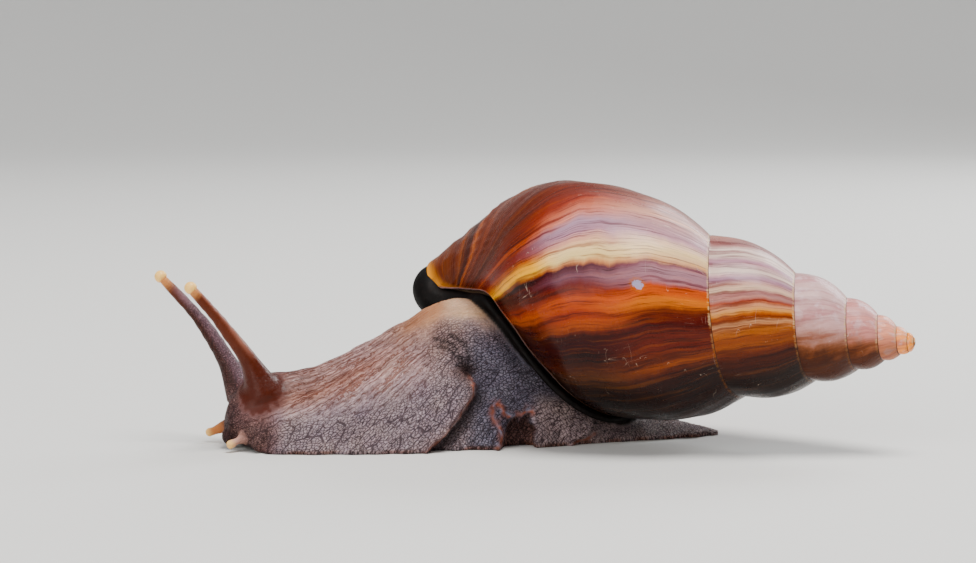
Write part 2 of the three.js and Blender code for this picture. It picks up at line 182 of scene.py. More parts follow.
class SNAIL_PG_shell(bpy.types.PropertyGroup):
    """Sizes and colours of the shell."""

    relief: length("Growth relief", "Height of the ridges that growth leaves", 0.07, 0, 1)
    lip_roll: length("Lip roll", "Radius of the rounded edge of the lip", 0.5, 0.1, 2)
    gloss: FloatProperty(
        name="Roughness", description="Roughness of the polished parts", default=0.24,
        min=0, max=1, subtype="FACTOR",
    )
    lip: colour("Lip", "Colour of the thickened edge", "D89A58")
    # this pale lilac stands for wear and also for painted sheen on the whorls' tops
    worn: colour("Worn", "Colour where the outer layer has worn away", "C9B0B2")


class SNAIL_PG_skin(bpy.types.PropertyGroup):
    """Sizes and colours of the skin."""

    detail: length("Detail", "Size of the skin's mesh faces", 0.3, 0.2, 2)
    groove: length("Groove depth", "Depth of the long grooves of the neck", 0.2, 0, 1)
    neck: colour("Neck", "Colour of the neck", "C6A198")
    flank: colour("Flank", "Colour of the granules on the flank", "AC989C")
    # the hind foot's own greyer tone, darkened and blued with painted shade from the shell above
    hind: colour("Hind part", "Colour of the recessed hind part of the foot", "787280")
    hump: colour("Hump", "Colour of the smooth skin under the shell", "C49E7C")
    face: colour("Face", "Colour of the face", "88605A")
    feeler: colour("Tentacles", "Colour of the upper tentacles", "562006")
    flare: colour("Tentacle base", "Colour of the smooth skin at the tentacles' base", "441404")
    tip: colour("Tips", "Colour of the lower tentacles' tips", "EFC070")
    rim: colour("Rims", "Colour of the free rims of the foot", "824022")
    # this colour also paints shade: under the shell's edge, in the pit and neck grooves, and behind the
    # left flap
    crack: colour("Cracks", "Colour between the granules", "170F11")
    # the collar's own dark colour; along the left flank it also stands for a painted shadow under the
    # shell's lip
    mantle: colour("Mantle", "Colour of the mantle's collar", "080504")


class SNAIL_PG_eyes(bpy.types.PropertyGroup):
    """Colours of the eye bulbs."""

    bulb: colour("Bulb", "Colour of the bulb", "FFC868")
    base: colour("Base", "Colour where the bulb joins the tentacle", "DC7C24")


class SNAIL_PG_stage(bpy.types.PropertyGroup):
    """Floor, lights and camera."""

    floor: colour("Floor", "Colour of the floor", "D9D8D4")
    distance: length("Distance", "From the camera to the model", 415, 100, 10000)
    elevation: FloatProperty(
        name="Elevation", description="Of the camera above the horizon", default=math.radians(6),
        min=0, max=math.pi / 2, subtype="ANGLE", unit="ROTATION",
    )
    lens: FloatProperty(
        name="Lens", description="Focal length of the camera", default=100, min=10, max=400,
        subtype="DISTANCE_CAMERA", unit="CAMERA",
    )


# ---- Curves and noise, as whole arrays ----

def smooth(value, low, high):
    """0 below low and 1 above high, joined by the cubic 3t^2 - 2t^3. low may be the larger one."""
    t = np.clip((np.asarray(value, float) - low) / (high - low), 0, 1)
    return t * t * (3 - 2 * t)


def bell(value, width):
    """A bell curve: 1 where value is 0, and exp(-1) at one width from it."""
    return np.exp(-((value / width) ** 2))


def unit(vectors):
    return vectors / np.maximum(np.linalg.norm(vectors, axis=-1, keepdims=True), 1e-12)


def square_to(ahead, vectors):
    """The unit vectors at right angles to ahead that lie nearest to the given ones."""
    return unit(vectors - ahead * np.sum(vectors * ahead, -1, keepdims=True))


def curve(points, at):
    """Places on a centripetal Catmull-Rom curve through points, at shares 0 to 1 of its spans."""
    p = np.asarray(points, float)
    ends = np.vstack([2 * p[0] - p[1], p, 2 * p[-1] - p[-2]])
    place = np.clip(np.asarray(at, float), 0, 1) * (len(p) - 1)
    span = np.minimum(place.astype(int), len(p) - 2)
    t = (place - span)[..., None]
    p0, p1, p2, p3 = (ends[span + i] for i in range(4))

    def knot(a, b):
        return np.maximum(np.sum((a - b) ** 2, -1, keepdims=True) ** 0.25, 1e-6)

    d0, d1, d2 = knot(p0, p1), knot(p1, p2), knot(p2, p3)
    m1 = ((p1 - p0) / d0 - (p2 - p0) / (d0 + d1) + (p2 - p1) / d1) * d1
    m2 = ((p2 - p1) / d1 - (p3 - p1) / (d1 + d2) + (p3 - p2) / d2) * d1
    return p1 + m1 * t + (3 * (p2 - p1) - 2 * m1 - m2) * t ** 2 + (2 * (p1 - p2) + m1 + m2) * t ** 3


def distance_to(points, path, samples=80):
    """Distance of each point from a curve, and the share of the curve where it is nearest."""
    near = np.full(points.shape[:-1], np.inf)
    share = np.zeros(points.shape[:-1])
    for i, sample in enumerate(curve(path, np.linspace(0, 1, samples))):
        gap = np.sum((points - sample) ** 2, -1)
        closer = gap < near
        near = np.where(closer, gap, near)
        share = np.where(closer, i / (samples - 1), share)
    return np.sqrt(near), share


def interpolated(at, keys, values, **options):
    """Values at places between keys that needn't be in order."""
    order = np.argsort(keys)
    return np.interp(at, keys[order], values[order], **options)


def wander(place, size, seed, waves=9):
    """Smooth noise from -1 to 1: the mean of waves of about one size in random directions."""
    rng = np.random.default_rng(seed)
    place = np.asarray(place, float)
    total = np.zeros(place.shape[:-1])
    for _ in range(waves):
        direction = rng.normal(size=place.shape[-1])
        direction *= 2 * math.pi / (size * rng.uniform(0.7, 1.5) * np.linalg.norm(direction))
        total += np.sin(place @ direction + rng.uniform(0, 2 * math.pi))
    return total / math.sqrt(waves)


# ---- Meshes ----

def fill_mesh(mesh, points, triangles):
    """Writes points (in millimetres) and triangles into an empty mesh."""
    count = len(triangles)
    mesh.vertices.add(len(points))
    mesh.vertices.foreach_set("co", (points * MM).astype(np.float32).ravel())
    mesh.loops.add(3 * count)
    mesh.loops.foreach_set("vertex_index", triangles.astype(np.int32).ravel())
    mesh.polygons.add(count)
    mesh.polygons.foreach_set("loop_start", np.arange(0, 3 * count, 3, dtype=np.int32))
    mesh.update(calc_edges=True)
    mesh.polygons.foreach_set("use_smooth", np.ones(len(mesh.polygons), bool))


def new_object(name, points, triangles, *materials):
    mesh = bpy.data.meshes.new(name)
    fill_mesh(mesh, points, triangles)
    for material in materials:
        mesh.materials.append(material)
    obj = bpy.data.objects.new(name, mesh)
    bpy.context.scene.collection.objects.link(obj)
    return obj


def set_attributes(mesh, domain, values):
    """Writes arrays of numbers, vectors or colours, by name, as attributes of the points or corners."""
    for name, array in values.items():
        kind, field = {1: ("FLOAT", "value"), 3: ("FLOAT_VECTOR", "vector"), 4: ("FLOAT_COLOR", "color")}[
            1 if array.ndim == 1 else array.shape[1]
        ]
        layer = mesh.attributes.new(name, kind, domain)
        layer.data.foreach_set(field, array.astype(np.float32).ravel())


def read(collection, name, width, kind):
    """One property of all items of a mesh's collection, as an array with a row for each item."""
    values = np.empty(width * len(collection), kind)
    collection.foreach_get(name, values)
    return values.reshape(-1, width)


def corners_of(points, triangles):
    return (points[triangles[:, i]] for i in range(3))


def grid_triangles(rows, columns, start=0):
    """Two triangles for each cell of a grid whose points are numbered row by row."""
    first = (np.arange(rows - 1)[:, None] * columns + np.arange(columns - 1)[None, :]).ravel() + start
    a, b, c, d = first, first + columns, first + columns + 1, first + 1
    return np.concatenate([np.stack([a, b, c], 1), np.stack([a, c, d], 1)])


def welded(*grids, tolerance=1e-3):
    """One closed surface, faces outward, from grids whose edges meet.

    The answer is (points, triangles, number in the grids of each triangle's corners).
    """
    flat = np.concatenate([g.reshape(-1, 3) for g in grids])
    triangles, start = [], 0
    for g in grids:
        triangles.append(grid_triangles(g.shape[0], g.shape[1], start))
        start += g.shape[0] * g.shape[1]
    triangles = np.concatenate(triangles)
    _, first, inverse = np.unique(
        np.round(flat / tolerance).astype(np.int64), axis=0, return_index=True, return_inverse=True
    )
    merged = inverse.ravel()[triangles]
    kept = (merged != np.roll(merged, 1, 1)).all(1)
    merged, triangles = merged[kept], triangles[kept]
    _, which, times = np.unique(np.sort(merged, 1), axis=0, return_inverse=True, return_counts=True)
    single = times[which.ravel()] == 1  # a triangle that lies back to back with another is left out
    points, merged, triangles = flat[first], merged[single], triangles[single]
    a, b, c = corners_of(points, merged)
    if np.sum(a * np.cross(b, c)) < 0:
        merged, triangles = merged[:, ::-1], triangles[:, ::-1]
    return points, merged, triangles


# ---- Shell: shape ----

TO_FRONT = np.array([
    -math.cos(AXIS_YAW) * math.cos(AXIS_RISE), math.sin(AXIS_YAW) * math.cos(AXIS_RISE), math.sin(AXIS_RISE)
])
TO_LEFT = np.cross([0, 0, 1], TO_FRONT) / np.linalg.norm(np.cross([0, 0, 1], TO_FRONT))
TO_TOP = np.cross(TO_FRONT, TO_LEFT)


def suture_distance(turn):
    """Distance of the suture from the apex along the axis: it grows by a fixed factor each turn."""
    start = WHORL_GROWTH ** FIRST_TURN
    return SUTURE_END * np.maximum(WHORL_GROWTH ** turn - start, 0) / (1 - start)


def suture_radius(turn):
    """A power of the distance from the apex, rounded off to a dome at the tip."""
    distance = suture_distance(turn)
    dome = TIP_ROUNDING * distance * bell(distance, TIP_LENGTH)
    return np.sqrt((RADIUS_FACTOR * distance ** RADIUS_POWER) ** 2 + dome)


def azimuth_of(turn):
    """Angle round the shell's axis, from the top over the left side: it goes round once a turn."""
    return LIP_AZIMUTH - 2 * math.pi * turn


def shell_points(turn, across):
    """The shell: turn runs along the spiral, across from a suture (0) to the next (1) and beyond.

    The radius falls off with a power of the distance to the next suture, and beyond it closes in as a
    parabola.
    """
    near = suture_distance(turn)
    along = near + across * (suture_distance(turn + 1) - near)
    along = along + TIP_BACK * bell(along, TIP_LENGTH)
    widest = suture_radius(turn + 1)
    rise = (widest - suture_radius(turn)) * np.maximum(1 - across, 0) ** SHOULDER_POWER
    closing = widest * (np.maximum(across - 1, 0) / FRONT_REACH) ** 2
    radius = widest - rise - closing
    azimuth = azimuth_of(turn)
    return (
        APEX + TO_FRONT * along[..., None]
        + TO_TOP * (radius * np.cos(azimuth))[..., None] + TO_LEFT * (radius * np.sin(azimuth))[..., None]
    )


LIP_LINE = curve([(a, b, 0) for a, b in LIP], np.linspace(0, 1, 4000))


def reach_across(turn):
    """How far across its whorl the shell reaches: to the next suture, or on the last turn to the lip."""
    reach = np.interp(turn, LIP_LINE[:, 0], LIP_LINE[:, 1])
    return np.where(turn <= -1, 1.0, np.maximum(reach, 0))


def lip_points(turn):
    return shell_points(turn, np.where(turn >= 0, 0.0, reach_across(turn)))


LIP_CENTRE = lip_points(np.arange(24) / 24 - 1).mean(0)


def towards_centre(points):
    return unit(LIP_CENTRE - points)


# How many turns a growth line lags behind, by how far across the whorl: everywhere, and near the lip.
SWEEP = [
    (-0.35, 0.0), (0, 0), (0.3, -0.011), (0.5, -0.02), (0.7, -0.029), (1, -0.04), (1.2, -0.048),
    (1.4, -0.062), (1.6, -0.08), (1.76, -0.1), (1.94, -0.13),
]
BEND = [(0.9, 0), (1.22, -0.041), (1.5, -0.07), (1.63, -0.117), (1.76, -0.18), (1.88, -0.24), (1.94, -0.31)]


def growth_lag(turn, across):
    """How many turns a growth line lags behind at a place across the whorl.

    On the whorl's side the lines sweep back a little towards the front. Near the outer lip they bend
    with it, more and more over the last half turn.
    """
    return np.interp(across, *zip(*SWEEP)) + np.interp(across, *zip(*BEND)) * smooth(turn, -0.64, -0.5)


def shell_grid():
    """Turns, places across the whorl, points and measures of the shell's outside, as one spiral grid.

    The measures, in millimetres: arc runs along the spiral and down across the whorl, scale is the
    radius and width the whorl's width. age is the growth line's own turn.
    """
    turns = math.ceil(1 - FIRST_TURN)
    turn = (np.arange(turns * PER_TURN + 1) / PER_TURN - turns)[:, None] + np.zeros((1, SHELL_ROWS + 1))
    share = np.linspace(0, 1, SHELL_ROWS + 1)[None, :] ** ROW_SPACING
    across = share * reach_across(turn)
    across[-1] = 0
    points = shell_points(turn, across)
    axis = APEX + ((points - APEX) @ TO_FRONT)[..., None] * TO_FRONT
    points = axis + (points - axis) * (1 - SHELL_SLIM)
    age = turn - growth_lag(turn, across)
    scale = suture_radius(turn + 1)
    arc = 2 * math.pi * scale / (RADIUS_POWER * math.log(WHORL_GROWTH))
    arc = arc * WHORL_GROWTH ** (RADIUS_POWER * (age - turn))
    width = suture_distance(turn + 1) - suture_distance(turn)
    to_lip = np.where(turn > -1, (reach_across(turn) - across) * width, FAR_FROM_LIP)
    return SimpleNamespace(
        turn=turn, share=share, across=across, points=points, age=age, scale=scale, arc=arc, width=width,
        down=across * width, to_lip=to_lip,
    )


def growth_relief(g, relief):
    """Height over the plain shell: growth ridges, slight swellings and a beaded edge at the suture.

    The ridges are waves of the growth line's arc. They fade out at the sutures, at the lip and towards
    the apex.
    """
    seam = smooth(g.share, 0, 0.03) * np.where(g.turn < -1, smooth(g.share, 1, 0.98), 1)
    place = np.stack([g.arc, g.down * 0.2, g.turn * 0], -1)
    young = smooth(g.turn, -1.2, -0.2) * smooth(g.across, 0.5, 1.5)
    ridges = relief * wander(place, 2.6, 3) + 1.1 * relief * young * wander(place, 4.2, 4)
    swellings = relief * 0.7 * wander(np.stack([g.arc, g.down, g.turn * 0], -1), 9, 5)
    bead = 0.5 * relief * bell(g.down - 0.35, 0.3) * np.sin(2 * math.pi * g.arc / 1.3)
    size = np.clip(g.scale / 16, 0.1, 1)
    return seam * size * (ridges * smooth(g.to_lip, 0.2, 2.5) + swellings + bead)


def make_mouth(edge, turn, lip_roll):
    """The lip, a half circle swept along the mouth's edge, and the recess, a cone deep into the mouth."""
    along = unit(np.roll(edge, -1, 0) - np.roll(edge, 1, 0))
    along[0] = along[-1] = unit(edge[1] - edge[-2])
    inward = square_to(along, towards_centre(edge))
    outward = square_to(inward, square_to(along, OUT_OF_SHELL))
    roll = (lip_roll * (0.3 + 0.7 * bell(turn - LIP_KNOB, 0.09)))[:, None]
    angle = np.linspace(0, math.pi, LIP_POINTS)[None, :]
    lip = (
        edge[:, None]
        + inward[:, None] * (roll * (1 - np.cos(angle)))[..., None]
        + outward[:, None] * (0.6 * roll * np.sin(angle))[..., None]
    )
    deepest = LIP_CENTRE - OUT_OF_SHELL * RECESS_DEPTH
    depth = np.linspace(0, 1, RECESS_POINTS)[None, 1:, None]
    return np.concatenate([lip, lip[:, -1:] * (1 - depth) + deepest * depth], 1)


def make_shell(settings, material):
    """The shell: its outside, raised by the growth relief along the normals, its lip and its recess."""
    g = shell_grid()
    normal = unit(np.cross(np.gradient(g.points, axis=0), np.gradient(g.points, axis=1)))
    if np.sum(normal * (g.points - g.points.mean((0, 1)))) < 0:
        normal = -normal
    points = g.points + normal * growth_relief(g, settings.relief / MM)[..., None]

    last = slice(-PER_TURN - 1, None)  # the last turn, along which the mouth runs
    edge = points[last, -1]
    edge[-1] = edge[0] = points[-1, 0]
    mouth = make_mouth(edge, g.turn[last, 0], settings.lip_roll / MM)
    vertices, triangles, corners = welded(points, mouth)
    shell = new_object("shell_skin", vertices, triangles, material)

    values = {
        "turn": g.turn, "age": g.age + growth_lag(g.turn, 1.0), "across": g.across, "down": g.down,
        "arc": g.arc, "under": -np.cos(azimuth_of(g.turn)), "to_lip": g.to_lip,
        "knob": bell(g.turn - LIP_KNOB, 0.1),
        "chip": np.hypot((g.turn - CHIP[0]) * 2 * math.pi * g.scale, (g.across - CHIP[1]) * g.width),
    }
    columns = mouth.shape[1]
    values = {k: np.concatenate([v.ravel(), np.repeat(v[last, -1], columns)]) for k, v in values.items()}
    inside = np.tile(np.linspace(0, 1, columns), PER_TURN + 1)
    values["inside"] = np.concatenate([np.zeros(g.turn.size), inside])
    set_attributes(shell.data, "CORNER", {k: v[corners.ravel()] for k, v in values.items()})
    shell.data.set_sharp_from_angle(angle=math.radians(38))
    return shell


# ---- Flesh: shape ----

def trunk_sections(at):
    """The trunk's path along its top, and the half-widths of its sole and back."""
    path = curve([(x, y, top) for x, y, _, _, top in BODY], at)
    widths = curve([(sole, back, 0) for _, _, sole, back, _ in BODY], at)
    return path, widths


def section_at(x):
    """The body's midline y, half-widths of sole and back, and height, at places along x."""
    path, widths = trunk_sections(np.linspace(0, 1, 2000))
    columns = (path[:, 1], widths[:, 0], widths[:, 1], path[:, 2])
    return [interpolated(x, path[:, 0], values) for values in columns]


def flap_rim(z):
    """x of the left flap's free rim at heights z."""
    rim = curve(FLAP_RIM, np.linspace(0, 1, 200))
    return interpolated(z, rim[:, 1], rim[:, 0])


def right_rim(z):
    """x of the right flap's free rim at heights z: a parabola."""
    return -6.6 - 0.13 * (z - 7.5) ** 2


def to_pit(x, z):
    return np.hypot(x - PIT[0], z - PIT[1])


def cavity_depth(x, z):
    """A hollow like a low arch, from 1 inside the curve |x|^2.3 + |z|^2.3 = 1 to 0 outside it.

    x and z are in the arch's half-widths and heights, and the curve wanders a little.
    """
    across = np.abs((x - CAVITY["x"]) / CAVITY["half"])
    up = np.abs((z - CAVITY["z"]) / CAVITY["height"])
    gap = across ** CAVITY["power"] + up ** CAVITY["power"]
    return smooth(gap + 0.22 * wander(np.stack([x, z], -1), 1.9, 25), 1.3, 0.5)


def left_relief(x, z):
    """Height of the folds on the left flank, over the plain flank, at (x, z)."""
    place = np.stack([x, z], -1)
    ahead = flap_rim(z) - x + 0.22 * wander(place, 2.4, 21)
    low = smooth(z, 13.2, 11.2)
    hind = np.interp(z, *zip(*HIND_EDGE)) - x
    waver = 0.75 + 0.25 * wander(place, 1.6, 22)

    def ridge(path, width):
        return bell(distance_to(place, path, 50)[0], width) * waver

    return sum((
        1.25 * smooth(ahead, -0.3, 0.3) * smooth(x, -33, -15) * smooth(z, 13.4, 9.5),  # the flap
        0.3 * bell(ahead - 0.45, 0.45) * low,  # its edge
        -1.2 * bell(np.minimum(ahead, 0) + 0.6, 2.6) * smooth(ahead, 0.2, -0.4) * low,  # the dip behind it
        -1.9 * bell(to_pit(x, z), 1.25),
        sum(-0.55 * bell(distance_to(place, g, 30)[0], 0.3) for g in NECK_GROOVES),
        1.4 * ridge(CURL_RIM, 0.6),
        1.25 * ridge(ARCH_RIM, 0.58),
        0.5 * smooth(x, -9.5, -6) * smooth(x, -4.4, -5.4) * smooth(z, 8.5, 6),  # the fold before the curl
        -CAVITY["depth"] * cavity_depth(x, z),
        0.95 * smooth(x, -1.4, 0.4) * smooth(hind, -0.3, 0.4) * smooth(z, 9.5, 6),  # the hind lobe
        0.35 * bell(hind - 0.4, 0.45) * smooth(z, 3.4, 2.4),  # its edge
        0.16 * wander(place * [1, 1.6], 3.6, 23) * smooth(x, -13, -9) * smooth(x, 9, 6),  # slight folds
        0.22 * wander(np.stack([x, 0 * z], -1), 3.1, 24) * smooth(z, 2.2, 0.5),  # the sole's frill
        head_relief(x, z),
    ))


def head_relief(x, z):
    """Swelling of the cheek round the lower tentacle's base, and the fold between head and foot."""
    cheek = 0.55 * bell(np.hypot(x - CHEEK[0], z - CHEEK[1]), 1.7)
    fold = -0.75 * bell(x - CHIN_FOLD - 0.3 * z, 0.45) * smooth(z, 4.2, 2.2)
    wrinkles = 0.12 * np.sin(2 * math.pi * (x + 0.25 * z) / 1.15 + 2 * np.sin(z)) * smooth(x, -43.4, -45.4)
    return cheek + fold + wrinkles * smooth(z, 2.5, 4)


def right_relief(x, z):
    """Height of the folds on the right flank: a flap, a short fold behind it and a hind lobe."""
    ahead = right_rim(z) - x
    flap = 1.2 * smooth(ahead, -0.3, 0.3) * smooth(x, -31, -13) * smooth(z, 12.4, 8.5)
    edge = 0.3 * bell(ahead - 0.5, 0.5) * smooth(z, 12, 10)
    behind = -0.8 * bell(np.minimum(ahead, 0) + 0.6, 2.4) * smooth(ahead, 0.2, -0.4) * smooth(z, 12, 10)
    hind = 0.8 * smooth(x, -3.6, -1) * smooth(x, 8.4, 5) * smooth(z, 9, 5.5)
    return flap + edge + behind + hind + head_relief(x, z)


def make_trunk():
    """The trunk: bell-shaped sections over a flat sole, pushed out and in by the folds of its two flanks.

    Around a section the half-width goes from the sole's to the back's with a power of the sine of the
    angle, and the height rises with that sine. The chin is drawn in, and lifted off the floor.
    """
    path, widths = trunk_sections(np.linspace(0.003, 0.997, TRUNK_GRID[0]))
    x, middle, top = (path[:, i][:, None] for i in range(3))
    sole, back = (widths[:, i][:, None] - INSET for i in (0, 1))
    angle = np.linspace(0, math.pi, TRUNK_GRID[1])[None, :]
    rise = np.sin(angle)
    width = sole + (back - sole) * rise ** FLANK_POWER
    z = RIM_HEIGHT + np.maximum(top - INSET - RIM_HEIGHT, 0) * rise
    x = x + 0 * z
    relief = np.where(np.cos(angle) > 0, left_relief(x, z), right_relief(x, z))
    relief = relief * smooth(np.abs(np.cos(angle)), 0.1, 0.45)
    chin = smooth(x, -42, -45.2) * smooth(z, 4.4, 1.2)
    y = middle - (width * (1 - 0.36 * chin) + relief) * np.cos(angle)
    x = x + 1.5 * smooth(x, -43.5, -47.4) * smooth(z, 3.6, 0.6)
    z = np.maximum(z + 0.35 * relief * rise, 0.6 * smooth(x, -41.4, -43.4))
    over = np.stack([x, y, z], -1)
    share = np.linspace(0, 1, SOLE_POINTS)[None, 1:-1, None]
    lowest = [0, 0, 1] * (0.6 * smooth(x[:, :1], -41.4, -43.4))[..., None]
    inset = np.array([0, SOLE_INSET, 0])
    right, left = over[:, -1:] * [1, 1, 0] + lowest - inset, over[:, :1] * [1, 1, 0] + lowest + inset
    ring = np.concatenate([over, right, right * (1 - share) + left * share, left, over[:, :1]], 1)
    tail, face = ring[:1].mean(1, keepdims=True), ring[-1:].mean(1, keepdims=True)
    return np.concatenate([tail + 0 * ring[:1], ring, face + 0 * ring[-1:]], 0)


def tube(line, side, up, radius, columns):
    """Round sections along a line, from two directions across it at each of its places."""
    angle = np.linspace(0, 2 * math.pi, columns)
    ring = side[:, None] * np.cos(angle)[None, :, None] + up[:, None] * np.sin(angle)[None, :, None]
    return line[:, None] + ring * radius[:, None, None]


def make_feeler(path, radii):
    """A tentacle: tapering round sections along a curve, with rounded ends, faint rings and a waist."""
    at = np.linspace(0, 1, FEELER_GRID[0])
    line = curve(path, at)
    ahead = unit(np.gradient(line, axis=0))
    side = unit(np.cross([0, 1, 0], ahead))
    radius = curve([(r, i, 0) for i, r in enumerate(radii)], at)[:, 0] - FEELER_SLIM
    reach = np.sum(np.linalg.norm(np.diff(line, axis=0), axis=1))
    to_end = np.minimum(4 * at, 1 - at) * reach / radius
    rings = 0.03 * np.sin(at * 70) * smooth(at, 0.3, 0.5) * smooth(at, 0.9, 0.8)
    waist = 0.1 * bell(at - 0.72, 0.1)
    radius = radius * np.sqrt(1 - np.clip(1 - to_end, 0, 1) ** 2) * (1 + rings - waist)
    return tube(line, side, np.cross(ahead, side), radius, FEELER_GRID[1])


def make_ball(centre, size):
    """A closed ball, stretched along the three axes."""
    lat = np.linspace(-math.pi / 2, math.pi / 2, BALL_GRID[0])[:, None]
    lon = np.linspace(0, 2 * math.pi, BALL_GRID[1])[None, :]
    ball = np.stack([np.cos(lat) * np.cos(lon), np.cos(lat) * np.sin(lon), np.sin(lat) + 0 * lon], -1)
    return np.asarray(centre) + ball * np.asarray(size)


def collar_radius(turn):
    """Radius of the mantle's roll: thick at the front and thinner along the two sides."""
    left = turn < COLLAR_FRONT
    reach = np.where(left, 1 + COLLAR_FRONT, -COLLAR_FRONT)
    away = smooth(COLLAR_TAPER * np.abs(turn - COLLAR_FRONT) / reach, 0, 1)
    return COLLAR_THICK + (np.where(left, COLLAR_LEFT, COLLAR_RIGHT) - COLLAR_THICK) * away


def collar_line(turn):
    turn = np.where(turn > 0, turn - 1, np.where(turn < -1, turn + 1, turn))
    edge = lip_points(turn)
    radius = collar_radius(turn)[:, None]
    return edge + towards_centre(edge) * COLLAR_INSET * radius + OUT_OF_SHELL * COLLAR_DROP * radius


def collar_turns():
    """Turns at even steps of length along the mantle's roll, once round the shell's mouth."""
    fine = np.linspace(-1, 0, 4001)
    steps = np.linalg.norm(np.diff(collar_line(fine), axis=0), axis=1)
    reach = np.concatenate([[0], np.cumsum(steps)])
    return np.interp(np.linspace(0, reach[-1], COLLAR_GRID[0]), reach, fine)


def make_collar():
    """The mantle's roll: round sections that follow the lip, a little inside it and out of the shell."""
    turn = collar_turns()
    centre = collar_line(turn)
    centre[-1] = centre[0]
    around = np.concatenate([centre[-4:-1], centre, centre[1:4]])
    around = (around[:-2] + around[1:-1] + around[2:]) / 3
    ahead = unit(around[4:] - around[:-4])
    side = square_to(ahead, towards_centre(centre))
    radius = collar_radius(turn) * (1 - 0.22 * smooth(turn, -0.55, -0.7)) - SLIM
    grid = tube(centre, side, np.cross(ahead, side), radius, COLLAR_GRID[1])
    grid[-1] = grid[0]
    return grid


def mantle_edge():
    """The edge of the skin across the shell's mouth: the lip, drawn in and out of the shell a little."""
    edge = lip_points(np.linspace(-1, 0, MANTLE_GRID[0]))
    return edge + towards_centre(edge) * MANTLE_INSET + OUT_OF_SHELL * MANTLE_DROP


def make_aperture_skin():
    """The skin across the shell's mouth: a shallow cone, closed behind by a deeper one."""
    edge = mantle_edge()
    edge[-1] = edge[0]
    share = np.linspace(-1, 1, MANTLE_GRID[1])[None, :, None]
    inner = LIP_CENTRE + OUT_OF_SHELL * (0.6 - RECESS_DEPTH)
    outer = LIP_CENTRE + OUT_OF_SHELL * MANTLE_BULGE
    return edge[:, None] * (1 - np.abs(share)) + np.where(share < 0, inner, outer) * np.abs(share)


def mouth_gap(points):
    """How far each point lies from the skin across the shell's mouth, and how far out, 1 at its edge."""
    edge = mantle_edge()[:-1] - LIP_CENTRE
    side = unit(np.cross(OUT_OF_SHELL, [0, 1, 0]))
    other = np.cross(OUT_OF_SHELL, side)
    place = points - LIP_CENTRE
    angle, at = (np.arctan2(p @ other, p @ side) for p in (edge, place))
    reach, height = (
        interpolated(at, angle, values, period=2 * math.pi)
        for values in (np.hypot(edge @ side, edge @ other), edge @ OUT_OF_SHELL)
    )
    share = np.hypot(place @ side, place @ other) / reach
    return place @ OUT_OF_SHELL - (MANTLE_BULGE + (height - MANTLE_BULGE) * share), share


def remeshed(grids, size):
    """One closed skin around closed grids: they are joined and rebuilt as even cubes' faces.

    This mesh is in millimetres, unlike all others. The answer is (points, triangles, edges).
    """
    points, triangles, start = [], [], 0
    for grid in grids:
        part, faces, _ = welded(grid)
        points.append(part)
        triangles.append(faces + start)
        start += len(part)
    obj = new_object("flesh_parts", np.concatenate(points) / MM, np.concatenate(triangles))
    modifier = obj.modifiers.new("join", "REMESH")
    modifier.mode = "VOXEL"
    modifier.voxel_size = size
    made = obj.evaluated_get(bpy.context.evaluated_depsgraph_get()).to_mesh()
    made.calc_loop_triangles()
    points = read(made.vertices, "co", 3, np.float32).astype(float)
    triangles = read(made.loop_triangles, "vertices", 3, np.int32)
    edges = read(made.edges, "vertices", 2, np.int32)
    bpy.data.meshes.remove(obj.data)
    return points, triangles, edges


def relaxed(points, edges, rounds, pull=0.5, push=-0.53):
    """Points smoothed without shrinking: moved towards the mean of their neighbours, then back."""
    count = np.bincount(edges.ravel(), minlength=len(points))[:, None]
    first, second = edges.T
    for i in range(2 * rounds):
        total = np.stack([
            np.bincount(first, c[second], len(c)) + np.bincount(second, c[first], len(c)) for c in points.T
        ], -1)
        points = points + (pull if i % 2 == 0 else push) * (total / np.maximum(count, 1) - points)
    return points


def vertex_normals(points, triangles):
    a, b, c = corners_of(points, triangles)
    face = np.cross(b - a, c - a)
    total = np.zeros_like(points)
    for corner in range(3):
        for axis in range(3):
            total[:, axis] += np.bincount(triangles[:, corner], face[:, axis], len(points))
    return unit(total)


